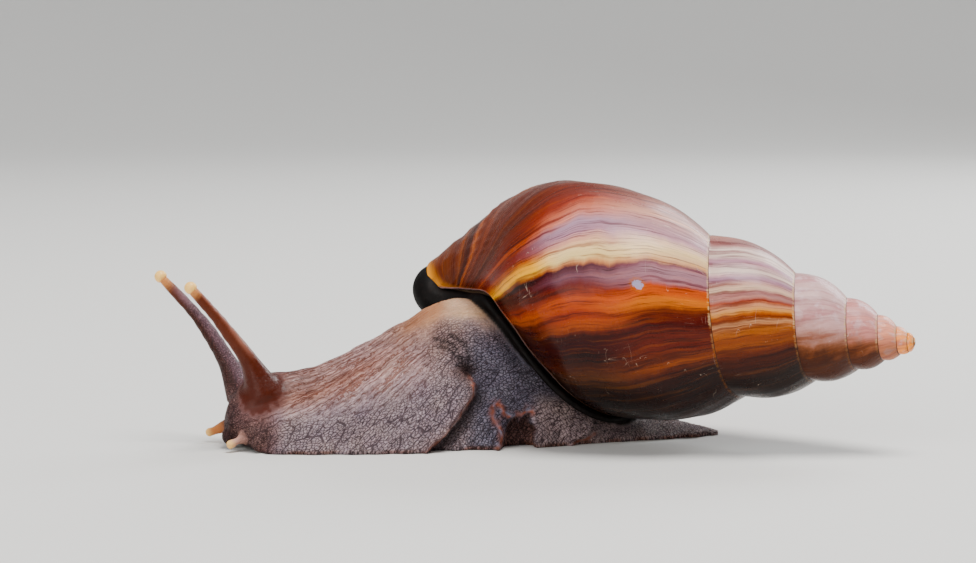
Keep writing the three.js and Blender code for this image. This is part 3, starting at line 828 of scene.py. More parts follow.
def flesh_regions(points):
    """Where each point of the skin lies: masks from 0 to 1, and coordinates that follow the grooves."""
    x, y, z = points.T
    middle, sole, back, top = section_at(x)
    rise = np.clip((z - RIM_HEIGHT) / np.maximum(top - RIM_HEIGHT, 0.1), 0, 1)
    width = sole + (back - sole) * rise ** FLANK_POWER
    angle = np.degrees(np.arcsin(rise))
    off_trunk = (np.sqrt(((y - middle) / width) ** 2 + rise ** 2) - 1) * 8
    left = (y < middle).astype(float)
    flank = np.stack([x, z], -1)
    r = SimpleNamespace(x=x, z=z, angle=angle, place=points, feeler={}, share={}, joint=0)

    for name, (path, radii, start, wide) in FEELERS.items():
        gap, share = distance_to(points, path, 60)
        gap = gap - np.interp(share, np.linspace(0, 1, len(radii)), radii)
        r.feeler[name] = smooth(gap, wide, 0.15) * smooth(share, *start)
        r.share[name] = share
        joint = smooth(np.abs(gap), 1.9, 0.4) * smooth(np.abs(off_trunk), 1.9, 0.4)
        r.joint = np.maximum(r.joint, joint * smooth(share, 0.8, 0.6))

    turn = collar_turns()
    collar = np.full(len(points), np.inf)
    for centre, radius in zip(collar_line(turn), collar_radius(turn)):
        collar = np.minimum(collar, np.linalg.norm(points - centre, axis=1) - radius)
    gap, share = mouth_gap(points)
    hanging = smooth(np.abs(gap), 0.9, 0.5) * (share < 1.1) * smooth(off_trunk, 0.3, 0.8)
    r.mantle = np.maximum(smooth(collar, 0.62, 0.04), hanging)
    r.throat = hanging * smooth(collar, 0.1, 0.8)
    # where painted shade from the shell's edge and the mantle falls on the skin
    r.near_shell = smooth(collar, 3.2, 0.2)

    # lay fans out along the neck, and spread lays the flank and the back out flat.
    fan = (90 - angle) * np.exp((x + 38) / 28)
    side = 2 * left - 1
    r.lay = np.stack([side * fan / 5.2, x, 0 * x], -1)
    r.spread = np.stack([x, side * (np.abs(y - middle) + top - z), 0 * x], -1)
    r.groove = smooth(angle, 14, 38) * smooth(x, -13, -21) * smooth(x, -46, -41)

    gaps = [distance_to(flank, path, 60)[0] for path, _ in RIMS]
    uneven = np.clip(1 + 0.3 * wander(points, 1.5, 31), 0.7, 1.5)
    rims = [smooth(gap, wide * uneven, 0.0) for gap, (_, wide) in zip(gaps, RIMS)]
    rims[0] = rims[0] * smooth(z, 12.2, 10)
    right = 0.6 * smooth(np.abs(right_rim(z) - x), 0.7 * uneven, 0.1) * smooth(z, 12, 10.5)
    r.rim = np.maximum(left * np.maximum.reduce(rims), (1 - left) * right)
    r.flap_edge = left * bell(gaps[0], 1.0) * smooth(z, 12.8, 11.5)
    # where a painted shadow lies in the dip behind the left flap's rim
    r.behind = left * smooth(gaps[0], 3.4, 0.5) * smooth(z, 12.5, 11) * smooth(x - flap_rim(z), 0.0, 0.5)
    grooves = np.minimum.reduce([distance_to(flank, g, 30)[0] for g in NECK_GROOVES])
    # where painted shade darkens the pit and the neck grooves
    r.pit = left * np.maximum(bell(to_pit(x, z), 1.8), 0.8 * bell(grooves, 0.3))
    r.cavity = left * cavity_depth(x, z)
    r.sole = smooth(z, 0.9, 0.3)
    r.hind = smooth(x, -12, -8.5) * smooth(angle, 62, 40)
    r.third = smooth(x, -1.5, 1) * smooth(z, 9, 6)
    r.hump = smooth(angle + 3 * wander(points, 5, 32), 50, 68) * smooth(x, -24, -15) * smooth(x, 10, 4)
    flare = np.hypot(x + 41.6, (z - 8.3) * 1.3 - 0.25 * (x + 41.6))
    r.flare = smooth(flare + 0.5 * wander(points, 0.9, 33), 3.7, 2.7) * smooth(angle, 90, 80) * left
    r.face = smooth(x, -37, -41.5)
    return r


def flesh_tint(r, settings):
    """The skin's colour by region: layers of (colour, mask, strength), one over the other."""
    x, z, angle, rim = r.x, r.z, r.angle, r.rim

    def patches(size, seed, low, high):
        return smooth(wander(r.place, size, seed), low, high)

    def behind_axis(name):
        """How far each point lies behind a tentacle's axis, along x."""
        path = np.array(FEELERS[name][0])
        return x - np.interp(z, path[:, 2], path[:, 0])

    def belt(low, full, end=None, gone=None):
        """A stretch of the body: from low to full it sets in, and from end to gone it gives out."""
        return smooth(x, low, full) * (1 if end is None else smooth(x, end, gone))

    layers = [
        ("B8A09C", patches(7, 41, 0.0, 1.2), 0.5),
        ("8C7A84", patches(6, 42, 0.1, 1.3), 0.5),
        (settings.neck, smooth(angle, 20, 44) * belt(-8, -20), 1),
        ("B08A82", smooth(angle, 44, 70) * belt(-10, -22, -43, -36), 0.85),
        ("94502E", bell(angle - 42 - 0.8 * (x + 36), 9) * belt(-18, -26, -43, -38), 0.6),
        ("74463A", belt(-26, -39) * smooth(angle, 26, 50), 0.62),
        (settings.hump, r.hump, 1),
        ("7A605A", bell(angle - 48, 9) * belt(-22, -14, 3, -3), 0.6),
        ("A0623A", smooth(angle, 48, 74) * belt(-23, -19, -12.5, -15.5), 0.8),
        # the hind foot's own tone, with painted shade from the shell above
        (settings.hind, r.hind, 1),
        ("B09690", r.third, 0.85),
        # painted shade under the shell's edge, in the crack colour
        (settings.crack, r.near_shell, 0.36),
        (settings.face, r.face, 1),
        ("96726C", r.face * smooth(z, 6, 3.5) * belt(-45.6, -42) * smooth(z, 0.8, 1.6), 0.7),
        # painted shade on the lower front of the face
        ("341E1C", belt(-44.6, -46.4) * smooth(z, 7.5, 5), 0.5),
        # painted shadow under the chin, where it is lifted off the floor
        ("241413", belt(-41.5, -43) * smooth(z, 1.6, 0.8), 0.8),
        # painted shade in the pit and the neck grooves of the left flank
        (settings.crack, r.pit, 0.9),
        # painted shadow in the dip behind the left flap
        (settings.crack, r.behind * smooth(z, 11, 7), 0.75),
        ("B8948C", r.flap_edge * (1 - r.behind), 0.55),
        ("7A5246", r.cavity, 0.9),
        # painted shade deep in the hollow and under its arch
        ("3A201A", r.cavity ** 2 * smooth(z, 1.0, 4.0), 0.7),
        (settings.rim, rim * (1 - r.cavity) * patches(1.6, 45, 1.2, -0.4), 0.95),
        ("5E3222", rim * patches(1.8, 46, 0.2, 1.2), 0.4),
        ("8A5236", r.sole * belt(-42, -36) * patches(4, 43, -0.8, 0.8), 0.7),
        (settings.flare, r.flare, 0.92),
    ]
    for name in ("upper_left", "upper_right"):
        mask, share = r.feeler[name], r.share[name]
        layers += [
            (settings.flare, mask, 1),
            (settings.feeler, mask * smooth(share, 0.2, 0.6), 1),
            ("D08A4A", mask * smooth(share, 0.88, 0.97), 0.8),
        ]
    left, right, share = r.feeler["upper_left"], r.feeler["upper_right"], r.share["upper_right"]
    lit = smooth(behind_axis("upper_right"), -0.5, 0.9)
    layers += [
        ("96747C", right * lit * smooth(share, 0.97, 0.75), 0.8),
        ("5A342C", right * (1 - lit) * smooth(share, 0.6, 0.3), 0.5),
        # painted highlight along the rear edge of the near upper tentacle
        ("B47A66", left * smooth(behind_axis("upper_left"), 0.5, 1.1) * smooth(share, 0.15, 0.35), 0.38),
    ]
    for name, tone in (("lower_left", "BC8C78"), ("lower_right", "B06A34")):
        mask = r.feeler[name]
        layers += [(tone, mask, 1), (settings.tip, mask * smooth(r.share[name], 0.68, 0.95), 1)]
    layers += [
        # the collar's own black, and along the left flank a painted shadow under the shell's lip
        (settings.mantle, r.mantle, 1),
        ("3A2B29", r.throat * patches(2.4, 47, -1.2, 0.6), 0.8),
    ]
    tint = np.array(settings.flank[:])
    for tone, mask, strength in layers:
        tone = hexed(tone) if isinstance(tone, str) else tone[:]
        mask = (np.clip(mask, 0, 1) * strength)[:, None]
        tint = tint * (1 - mask) + np.array(tone) * mask
    return tint


def make_skin(settings, *materials):
    """The whole flesh as one skin, with no seam: trunk, tentacles, lips and mantle, joined and smoothed.

    Its grooves are waves of the angle round the neck, which fan out from the tentacles, pressed in
    along the normal.
    """
    grids = [make_trunk(), make_collar(), make_aperture_skin()]
    grids += [make_feeler(path, radii) for path, radii, _, _ in FEELERS.values()]
    for side in (-1, 1):
        centre = (MOUTH["x"], MOUTH["y"] + side * MOUTH["spread"], MOUTH["z"])
        grids.append(make_ball(centre, [s - SLIM for s in MOUTH["size"]]))
    points, triangles, edges = remeshed(grids, settings.detail / MM)
    points = relaxed(points, edges, SMOOTHING)
    r = flesh_regions(points)
    points = points + (relaxed(points, edges, JOINT_SMOOTHING, push=0.0) - points) * r.joint[:, None]

    wide, narrow = wander(r.lay * [1, 0.16, 1], 2.2, 11), wander(r.lay * [1, 0.16, 1], 1.1, 13)
    grooves = (0.6 - np.abs(wide) - 0.5 * np.abs(narrow)) * r.groove
    dents = wander(points, 5.5, 12) * 0.08 + 0.07 * wander(r.lay * [1.6, 0.7, 1], 2.0, 14)
    bare = 1 - np.clip(r.mantle + r.sole, 0, 1)
    offset = bare * (settings.groove / MM * grooves + dents * smooth(points[:, 0], -44, -40)) - SINK
    feelers = sum(r.feeler.values())
    offset = offset * (1 - np.clip(feelers, 0, 1))
    points = points + vertex_normals(points, triangles) * offset[:, None]
    points[:, 2] = np.where(points[:, 2] < FLOOR_SNAP, 0, points[:, 2])

    skin = new_object("skin", points, triangles, *materials)
    tint = flesh_tint(r, settings)
    beads = r.feeler["upper_right"] * smooth(r.share["upper_right"], 0.98, 0.7)
    plain = feelers - 0.85 * beads + r.mantle + 0.7 * r.hump + r.rim ** 3 + 0.8 * r.flare
    set_attributes(skin.data, "POINT", {
        "tint": np.column_stack([tint, np.ones(len(tint))]), "lay": r.lay, "spread": r.spread,
        "groove": r.groove, "plain": np.clip(plain, 0, 1), "mantle": r.mantle,
        "fine": np.clip(r.face + r.flap_edge + beads, 0, 1),
        "coarse": r.third * smooth(points[:, 0], 11, 8),
        "sheen": np.clip(r.groove + r.flare + feelers, 0, 1),
    })
    on_mantle = r.mantle[triangles].mean(1) > MANTLE_SHARE
    skin.data.polygons.foreach_set("material_index", on_mantle.astype(np.int32))
    return skin


# ---- Materials ----

class Wire:
    """A node's output, with which numbers, vectors and other outputs are added and multiplied."""

    def __init__(self, nodes, socket):
        self.nodes, self.socket = nodes, socket

    def work(self, operation, *values):
        kind = "ShaderNodeMath" if self.socket.type == "VALUE" else "ShaderNodeVectorMath"
        return self.nodes.make(kind, values, operation=operation)

    def __add__(self, other):
        return self.work("ADD", self, other)

    def __sub__(self, other):
        return self.work("SUBTRACT", self, other)

    def __rsub__(self, other):
        return self.work("SUBTRACT", other, self)

    def __mul__(self, other):
        if self.socket.type != "VALUE" and isinstance(other, (int, float)):
            inputs = {"Vector": self, "Scale": other}
            return self.nodes.make("ShaderNodeVectorMath", inputs, operation="SCALE")
        return self.work("MULTIPLY", self, other)

    def __abs__(self):
        return self.work("ABSOLUTE", self)


class Nodes:
    """A node tree with short ways to add nodes: an input is a value or another node's output."""

    def __init__(self, tree):
        self.tree = tree

    def put(self, socket, value):
        if isinstance(value, Wire):
            self.tree.links.new(value.socket, socket)
            return
        if socket.type == "RGBA" and len(value) == 3:
            value = (*value, 1)
        socket.default_value = value

    def add(self, kind, inputs=(), **settings):
        node = self.tree.nodes.new(kind)
        for name, value in settings.items():
            setattr(node, name, value)
        pairs = inputs.items() if isinstance(inputs, dict) else enumerate(inputs)
        for key, value in pairs:
            self.put(node.inputs[key], value)
        return node

    def make(self, kind, inputs=(), output=0, **settings):
        return Wire(self, self.add(kind, inputs, **settings).outputs[output])

    def math(self, operation, a, b):
        return self.make("ShaderNodeMath", [a, b], operation=operation)

    def least(self, a, b):
        return self.math("MINIMUM", a, b)

    def above(self, value, level):
        return self.math("GREATER_THAN", value, level)

    def centred(self, noise, size):
        """Noise of 0 to 1 turned into about -size / 2 to size / 2."""
        return (noise - 0.5) * size

    def near(self, noise, level, low, high):
        """1 on the line where noise has a level, falling to 0 away from it, or the other way round."""
        return self.ramp(abs(noise - level), low, high)

    def blend(self, factor, a, b):
        """Numbers mixed: a where factor is 0, b where it is 1."""
        return self.make(
            "ShaderNodeMix", {"Factor": factor, "A": a, "B": b}, data_type="FLOAT", clamp_factor=True
        )

    def mix(self, factor, a, b, blend="MIX"):
        """Colours mixed: a where factor is 0, b where it is 1."""
        return self.make("ShaderNodeMix", {0: factor, 6: a, 7: b}, 2, data_type="RGBA", blend_type=blend)

    def layered(self, base, *layers):
        """Layers of (mask, colour) laid over a base colour, one after the other."""
        for mask, tone in layers:
            base = self.mix(mask, base, hexed(tone) if isinstance(tone, str) else tone)
        return base

    def combine(self, x, y, z=0.0):
        return self.make("ShaderNodeCombineXYZ", [x, y, z])

    def ramp(self, value, low, high, to_low=0.0, to_high=1.0):
        return self.make(
            "ShaderNodeMapRange",
            {"Value": value, "From Min": low, "From Max": high, "To Min": to_low, "To Max": to_high},
            interpolation_type="SMOOTHSTEP",
        )

    def attribute(self, name, output="Fac"):
        return self.make("ShaderNodeAttribute", output=output, attribute_name=name)

    def place(self):
        """The place on the object, in millimetres."""
        return self.make("ShaderNodeTexCoord", output="Object") * (1 / MM)

    def noise(self, vector, scale, detail=3.0, roughness=0.55, output="Fac"):
        inputs = {"Vector": vector, "Scale": scale, "Detail": detail, "Roughness": roughness}
        return self.make("ShaderNodeTexNoise", inputs, output)

    def cells(self, vector, scale, feature="DISTANCE_TO_EDGE", output=0, dimensions="3D"):
        return self.make(
            "ShaderNodeTexVoronoi", {"Vector": vector, "Scale": scale}, output,
            feature=feature, voronoi_dimensions=dimensions,
        )

    def bands(self, value, stops, column=1):
        """The colour at a value, from stops of (place, colours), where column says which colour."""
        low, high = stops[0][0], stops[-1][0]
        share = self.make("ShaderNodeMapRange", {"Value": value, "From Min": low, "From Max": high})
        node = self.add("ShaderNodeValToRGB", [share])
        elements = node.color_ramp.elements
        while len(elements) < len(stops):
            elements.new(0.5)
        for element, stop in zip(elements, stops):
            element.position = (stop[0] - low) / (high - low)
            element.color = (*hexed(stop[column]), 1)
        return Wire(self, node.outputs[0])

    def bump(self, height, strength, distance):
        """A normal from a height between 0 and 1 and the distance, in millimetres, that 1 stands for."""
        inputs = {"Strength": strength, "Distance": distance * MM, "Height": height}
        return self.make("ShaderNodeBump", inputs)


def new_material(name):
    """A material with one Principled shader: (material, its nodes, what sets the shader's inputs)."""
    material = bpy.data.materials.new(name)
    material.use_nodes = True
    material.node_tree.nodes.clear()
    n = Nodes(material.node_tree)
    shader = n.add("ShaderNodeBsdfPrincipled")
    n.tree.links.new(shader.outputs[0], n.add("ShaderNodeOutputMaterial").inputs[0])

    def dress(inputs):
        for key, value in inputs.items():
            n.put(shader.inputs[key], value)

    return material, n, dress


def moist_group():
    """A group for moist or polished surfaces: fine pores and smears, as a height and a roughness."""
    group = bpy.data.node_groups.new("moist_film", "ShaderNodeTree")
    sockets = [("Vector", "INPUT", "Vector"), ("Smooth", "INPUT", "Float"), ("Rough", "INPUT", "Float"),
               ("Roughness", "OUTPUT", "Float"), ("Height", "OUTPUT", "Float")]
    for name, way, kind in sockets:
        group.interface.new_socket(name, in_out=way, socket_type="NodeSocket" + kind)
    n = Nodes(group)
    source = n.add("NodeGroupInput").outputs
    vector, low, high = (Wire(n, source[name]) for name in ("Vector", "Smooth", "Rough"))
    smears = n.ramp(n.noise(vector, 0.35, 4, 0.6), 0.35, 0.68)
    pores = n.noise(vector, 4.5, 2, 0.6)
    n.add("NodeGroupOutput", {"Roughness": low + smears * (high - low), "Height": pores})
    return group


def moist(n, vector, low, high):
    """Roughness between low and high, and the height of the pores."""
    group = bpy.data.node_groups.get("moist_film") or moist_group()
    node = n.add("ShaderNodeGroup", node_tree=group)
    for key, value in {"Vector": vector, "Smooth": low, "Rough": high}.items():
        n.put(node.inputs[key], value)
    return Wire(n, node.outputs["Roughness"]), Wire(n, node.outputs["Height"])


# Bands of the last whorl, from the bottom over the left side to the top: how many turns before the lip
# they grew, and their colours near the suture, at the middle of the whorl and near the front.
LAST_WHORL = [
    (-1.0, "2A130C", "1E0F0A", "1A0B07"), (-0.9, "2A120C", "1F110C", "1A0C08"),
    (-0.83, "260E09", "1A0B08", "180906"), (-0.803, "32110B", "21100C", "1C0B06"),
    (-0.79, "522010", "402416", "221007"), (-0.779, "803C16", "54301C", "30160D"),
    (-0.765, "7C3614", "46231A", "442420"), (-0.752, "642014", "351611", "3A1A12"),
    (-0.73, "66241A", "38161A", "3A1610"), (-0.716, "521511", "3C120E", "3C201A"),
    (-0.709, "5A2220", "74301C", "351413"), (-0.703, "5E2622", "A04C20", "3A1716"),
    (-0.692, "7E3A20", "9C3810", "54200F"), (-0.684, "C06A2A", "98300A", "9A4A1C"),
    (-0.676, "C9763C", "B04816", "A44C18"), (-0.667, "BE5A34", "AA4318", "8E3212"),
    (-0.658, "BC6650", "8A3420", "78260E"), (-0.65, "A0787E", "6A2A26", "702A16"),
    (-0.637, "A08088", "70505C", "571D14"), (-0.6285, "9A7880", "5E3840", "4A130E"),
    (-0.624, "7E5862", "4C2430", "401010"), (-0.619, "CDA084", "C28C70", "9A5422"),
    (-0.612, "DFBE98", "E4CC9E", "E6AC48"), (-0.6, "E9CFAC", "EACFA8", "DE9A40"),
    (-0.589, "E0C2AE", "D2A496", "A2522A"), (-0.578, "B8949C", "AC8A96", "7C3A34"),
    (-0.562, "A8888E", "A88E9C", "70332E"), (-0.548, "C29C9A", "C08880", "93432C"),
    (-0.534, "CCA698", "B87A6E", "7E3220"), (-0.515, "B08884", "8E504A", "6E281A"),
    (-0.49, "96706A", "74403A", "602614"), (-0.46, "8A625C", "6C362C", "5A2412"),
]
# The same from the top over the right side to the lip.
RIGHT_SIDE = [
    (-0.46, "8A625C", "6C362C", "5A2412"), (-0.42, "8E665A", "703624", "6A2A18"),
    (-0.39, "C09A82", "74301F", "5A2212"), (-0.37, "CFAE8C", "B0703C", "742F14"),
    (-0.355, "D6B890", "C98C4A", "7C3614"), (-0.335, "8C6468", "5A2A28", "6C2A12"),
    (-0.315, "8A5040", "6C2E1C", "7E3814"), (-0.303, "A05E38", "8E4420", "AE5C20"),
    (-0.293, "A8642C", "9C5020", "98481A"), (-0.275, "6A3022", "5A2418", "461A10"),
    (-0.245, "7E4026", "70301A", "54200F"), (-0.228, "9C5A2A", "96501F", "86441A"),
    (-0.215, "C08A4C", "B87830", "703214"), (-0.19, "8C4C2C", "6E2C18", "622610"),
    (-0.165, "A05A2C", "8C4420", "6C3014"), (-0.14, "703222", "5E2416", "7A3C18"),
    (-0.115, "884424", "7A3418", "64280F"), (-0.08, "B0743A", "AC6A2A", "84481C"),
    (-0.045, "6A2E1A", "662A14", "7A3A18"), (-0.02, "8E4E24", "A05C26", "945824"),
    (0.0, "B87C3C", "C08440", "B07838"),
]
# The whorl before it, one turn earlier.
SECOND_WHORL = [
    (-2.0, "2A160C"), (-1.88, "22110A"), (-1.82, "25120B"), (-1.8, "3A190D"), (-1.78, "4A1E10"),
    (-1.765, "45190D"), (-1.75, "6E3420"), (-1.735, "8E5840"), (-1.72, "8A4E36"), (-1.7, "AA7458"),
    (-1.685, "C49A80"), (-1.677, "6A2C20"), (-1.669, "A86448"), (-1.66, "CC9C74"), (-1.65, "C89A84"),
    (-1.641, "9A5A50"), (-1.632, "AA8480"), (-1.622, "A87A78"), (-1.612, "CDB4A0"), (-1.602, "C8A498"),
    (-1.591, "A07E8E"), (-1.582, "AE929A"), (-1.57, "D8C4B8"), (-1.558, "C4A8A6"), (-1.545, "A88090"),
    (-1.53, "D2BEB4"), (-1.51, "D6C4BC"), (-1.49, "9C7472"), (-1.44, "A8807A"), (-1.3, "A0684C"),
    (-1.15, "7C3E28"), (-1.0, "4A2416"),
]
SPIRE = [
    (-8, "FFAE6C"), (-6.3, "FCB07A"), (-5.3, "F4B294"), (-4.5, "E4AA9A"), (-3.8, "D09C96"),
    (-3.1, "C79C9C"), (-2.5, "CBAEAC"), (-2.0, "B8958F"),
]

WAVE_IN_TURNS = 0.0098  # how many turns a band's edge is shifted for each millimetre of its wave
TOP_TURN = -0.46  # where the bands of the left side give way to those of the right side


def shell_material(settings):
    """Polished shell: bands that follow the growth lines, streaks, wear with painted sheen, scratches and
    specks.
    """
    material, n, dress = new_material("shell_gloss")
    names = ("turn", "age", "knob", "across", "down", "arc", "under", "to_lip", "inside", "chip")
    turn, age, knob, across, down, arc, under, to_lip, inside, to_chip = map(n.attribute, names)
    place = n.combine(arc, down)

    def drawn_out(along, dense, wide, seed, detail=3, roughness=0.6, scale=1.0):
        """Noise with one density along the spiral and another across the whorl."""
        return n.noise(n.combine(along * dense, down * wide, seed), scale, detail, roughness)

    # Wavy edges of the bands, in millimetres along the spiral: long waves and short ones.
    long_wave = n.centred(drawn_out(arc, 0.3, 1.0, 0, 2, 0.5, 0.13), 2.6)
    short_wave = n.centred(drawn_out(arc, 0.5, 1.0, 3, 3, 0.55, 0.6), 0.9)
    wave = long_wave + short_wave
    grown = age + wave * WAVE_IN_TURNS
    drawn = arc + (long_wave + short_wave * 0.15)

    # Bands: each has its own colour near the suture, in the middle and near the front.
    blend = across + wave * 0.06
    middle, front = n.ramp(blend, 0.35, 0.95), n.ramp(blend, 1.0, 1.5)
    late = []
    for stops in (LAST_WHORL, RIGHT_SIDE):
        near, half, far = (n.bands(grown, stops, column) for column in (1, 2, 3))
        late.append(n.mix(front, n.mix(middle, near, half), far))
    late = n.mix(n.above(grown, TOP_TURN), *late)
    stripes = drawn_out(drawn, 0.55, 0.12, 0)
    patches = n.noise(place, 0.5)
    below = under + n.centred(stripes + patches, 0.6)
    late_turn = n.ramp(turn, -5.8, -3.4)
    spire = n.layered(
        n.bands(turn, SPIRE),
        (n.ramp(stripes, 0.48, 0.66, 0, 0.5), "A87078"),
        (n.ramp(patches, 0.5, 0.66, 0, 0.5), "DCC8CC"),
        (n.ramp(below, -0.2, 0.5, 0, 0.9) * late_turn, "8A5A42"),
        (n.ramp(below, 0.25, 0.8, 0, 0.95) * late_turn, "45200F"),
    )
    base = n.mix(n.ramp(grown, -2.02, -1.98), spire, n.bands(grown, SECOND_WHORL))
    base = n.mix(n.above(turn, -1.0), base, late)

    # Fine streaks along the growth lines: broad, thin and hair-thin, darker and paler.
    broad = drawn_out(drawn, 0.8, 0.05, 1, 4)
    streak = drawn_out(drawn, 2.4, 0.08, 2, 4, 0.65)
    hair = drawn_out(drawn, 6.5, 0.13, 4)
    young = n.ramp(turn, -2.4, -1.6, 0.35, 1.0)
    darker, darkest = (n.mix(1.0, base, hexed(tone), "MULTIPLY") for tone in ("8C5A66", "6A3844"))
    paler = n.mix(0.15, base * 1.5, hexed("D89048"))
    base = n.layered(
        base,
        (n.ramp(broad, 0.53, 0.64, 0, 0.6) * young, darker),
        (n.ramp(broad, 0.45, 0.34, 0, 0.45) * young, paler),
        (n.ramp(streak, 0.54, 0.64, 0, 0.6) * young, darkest),
        (n.ramp(streak, 0.44, 0.34, 0, 0.4) * young, paler),
        (n.ramp(hair, 0.56, 0.7, 0, 0.35) * young, darkest),
    )

    # Pale lilac on top and towards the spire: partly wear, partly painted sheen where light falls on top.
    # Suture: a thin pale edge, broken up, over a dark line.
    wear_and_sheen = n.ramp(under, -0.3, -0.95) * n.ramp(down, 14.0, 3.0)
    wear_and_sheen = wear_and_sheen * n.ramp(drawn_out(drawn, 1.5, 0.14, 9, 5, 0.7, 0.9), 0.44, 0.6)
    bead = n.noise(n.combine(arc, 0.0, 2.0), 1.1, 3, 0.7)
    ragged = down + n.centred(n.noise(place, 1.6, 3, 0.6), 0.5)
    edge = n.ramp(ragged, 0.42, 0.22) * n.ramp(bead, 0.4, 0.58, 0.1, 0.85)
    edge = edge * n.ramp(under, -0.4, 0.5, 0.9, 0.45)

    # A few thin pale scratches along and across the whorl, patches of specks, and one chip.
    line = n.near(drawn_out(arc, 1.1, 0.16, 6, 1, 0.5), 0.5, 0.006, 0.001)
    tall = n.near(drawn_out(arc, 0.12, 0.55, 12, 1, 0.5), 0.47, 0.005, 0.001)
    line = line * n.ramp(drawn_out(arc, 0.9, 0.22, 5, 1, 0.5), 0.5, 0.56)
    tall = tall * n.ramp(drawn_out(arc, 0.22, 0.9, 8, 1, 0.5), 0.47, 0.53)
    scratches = n.math("MAXIMUM", line, tall) * n.ramp(n.noise(place, 0.2, 2, 0.5), 0.56, 0.63)
    specks = n.ramp(n.cells(place, 2.0, "F1"), 0.13, 0.07) * n.ramp(n.noise(place, 0.16, 3, 0.7), 0.58, 0.7)
    to_chip = to_chip + n.centred(n.noise(place, 1.5, 3, 0.6), 1.1)
    chip = n.ramp(to_chip, 0.95, 0.75)

    # Lip: a thin pale edge, thicker and orange at its front, and a smooth pale throat.
    rim = n.ramp(to_lip, knob * 0.9 + 0.22, 0.05) * (knob * 0.94 + 0.06)
    base = n.layered(
        base,
        (wear_and_sheen * 0.26, settings.worn[:]),
        (edge, n.mix(n.ramp(under, -0.3, 0.6), hexed("D0B496"), hexed("8A6040"))),
        # painted shade: a dark line in the crease along the suture
        (n.ramp(down, 0.13, 0.05) * 0.85, "30160F"),
        (scratches * 0.38, "E4D4C4"),
        (specks * 0.65, "CDB4A0"),
        (n.ramp(to_chip, 1.5, 1.0, 0, 0.22), "C9803C"),
        (chip * 0.85, "A8A6BC"),
        (rim, settings.lip[:]),
        (n.ramp(inside, 0.02, 0.25), "B49A9C"),
    )
    base = n.make("ShaderNodeGamma", [base, 1.18])
    richer = {"Hue": 0.503, "Saturation": 1.2, "Value": 1.02, "Color": base}
    base = n.make("ShaderNodeHueSaturation", richer)

    rough, pores = moist(n, place, settings.gloss, settings.gloss + 0.14)
    height = streak * 0.5 + hair * 0.3 + broad * 0.6 + pores * 0.08 - chip * 0.5
    dress({
        "Base Color": base, "Roughness": rough + wear_and_sheen * 0.15, "Specular IOR Level": 0.11,
        "Coat Weight": 0.1, "Coat Roughness": 0.09, "Normal": n.bump(height, 0.6, 0.14),
    })
    return material


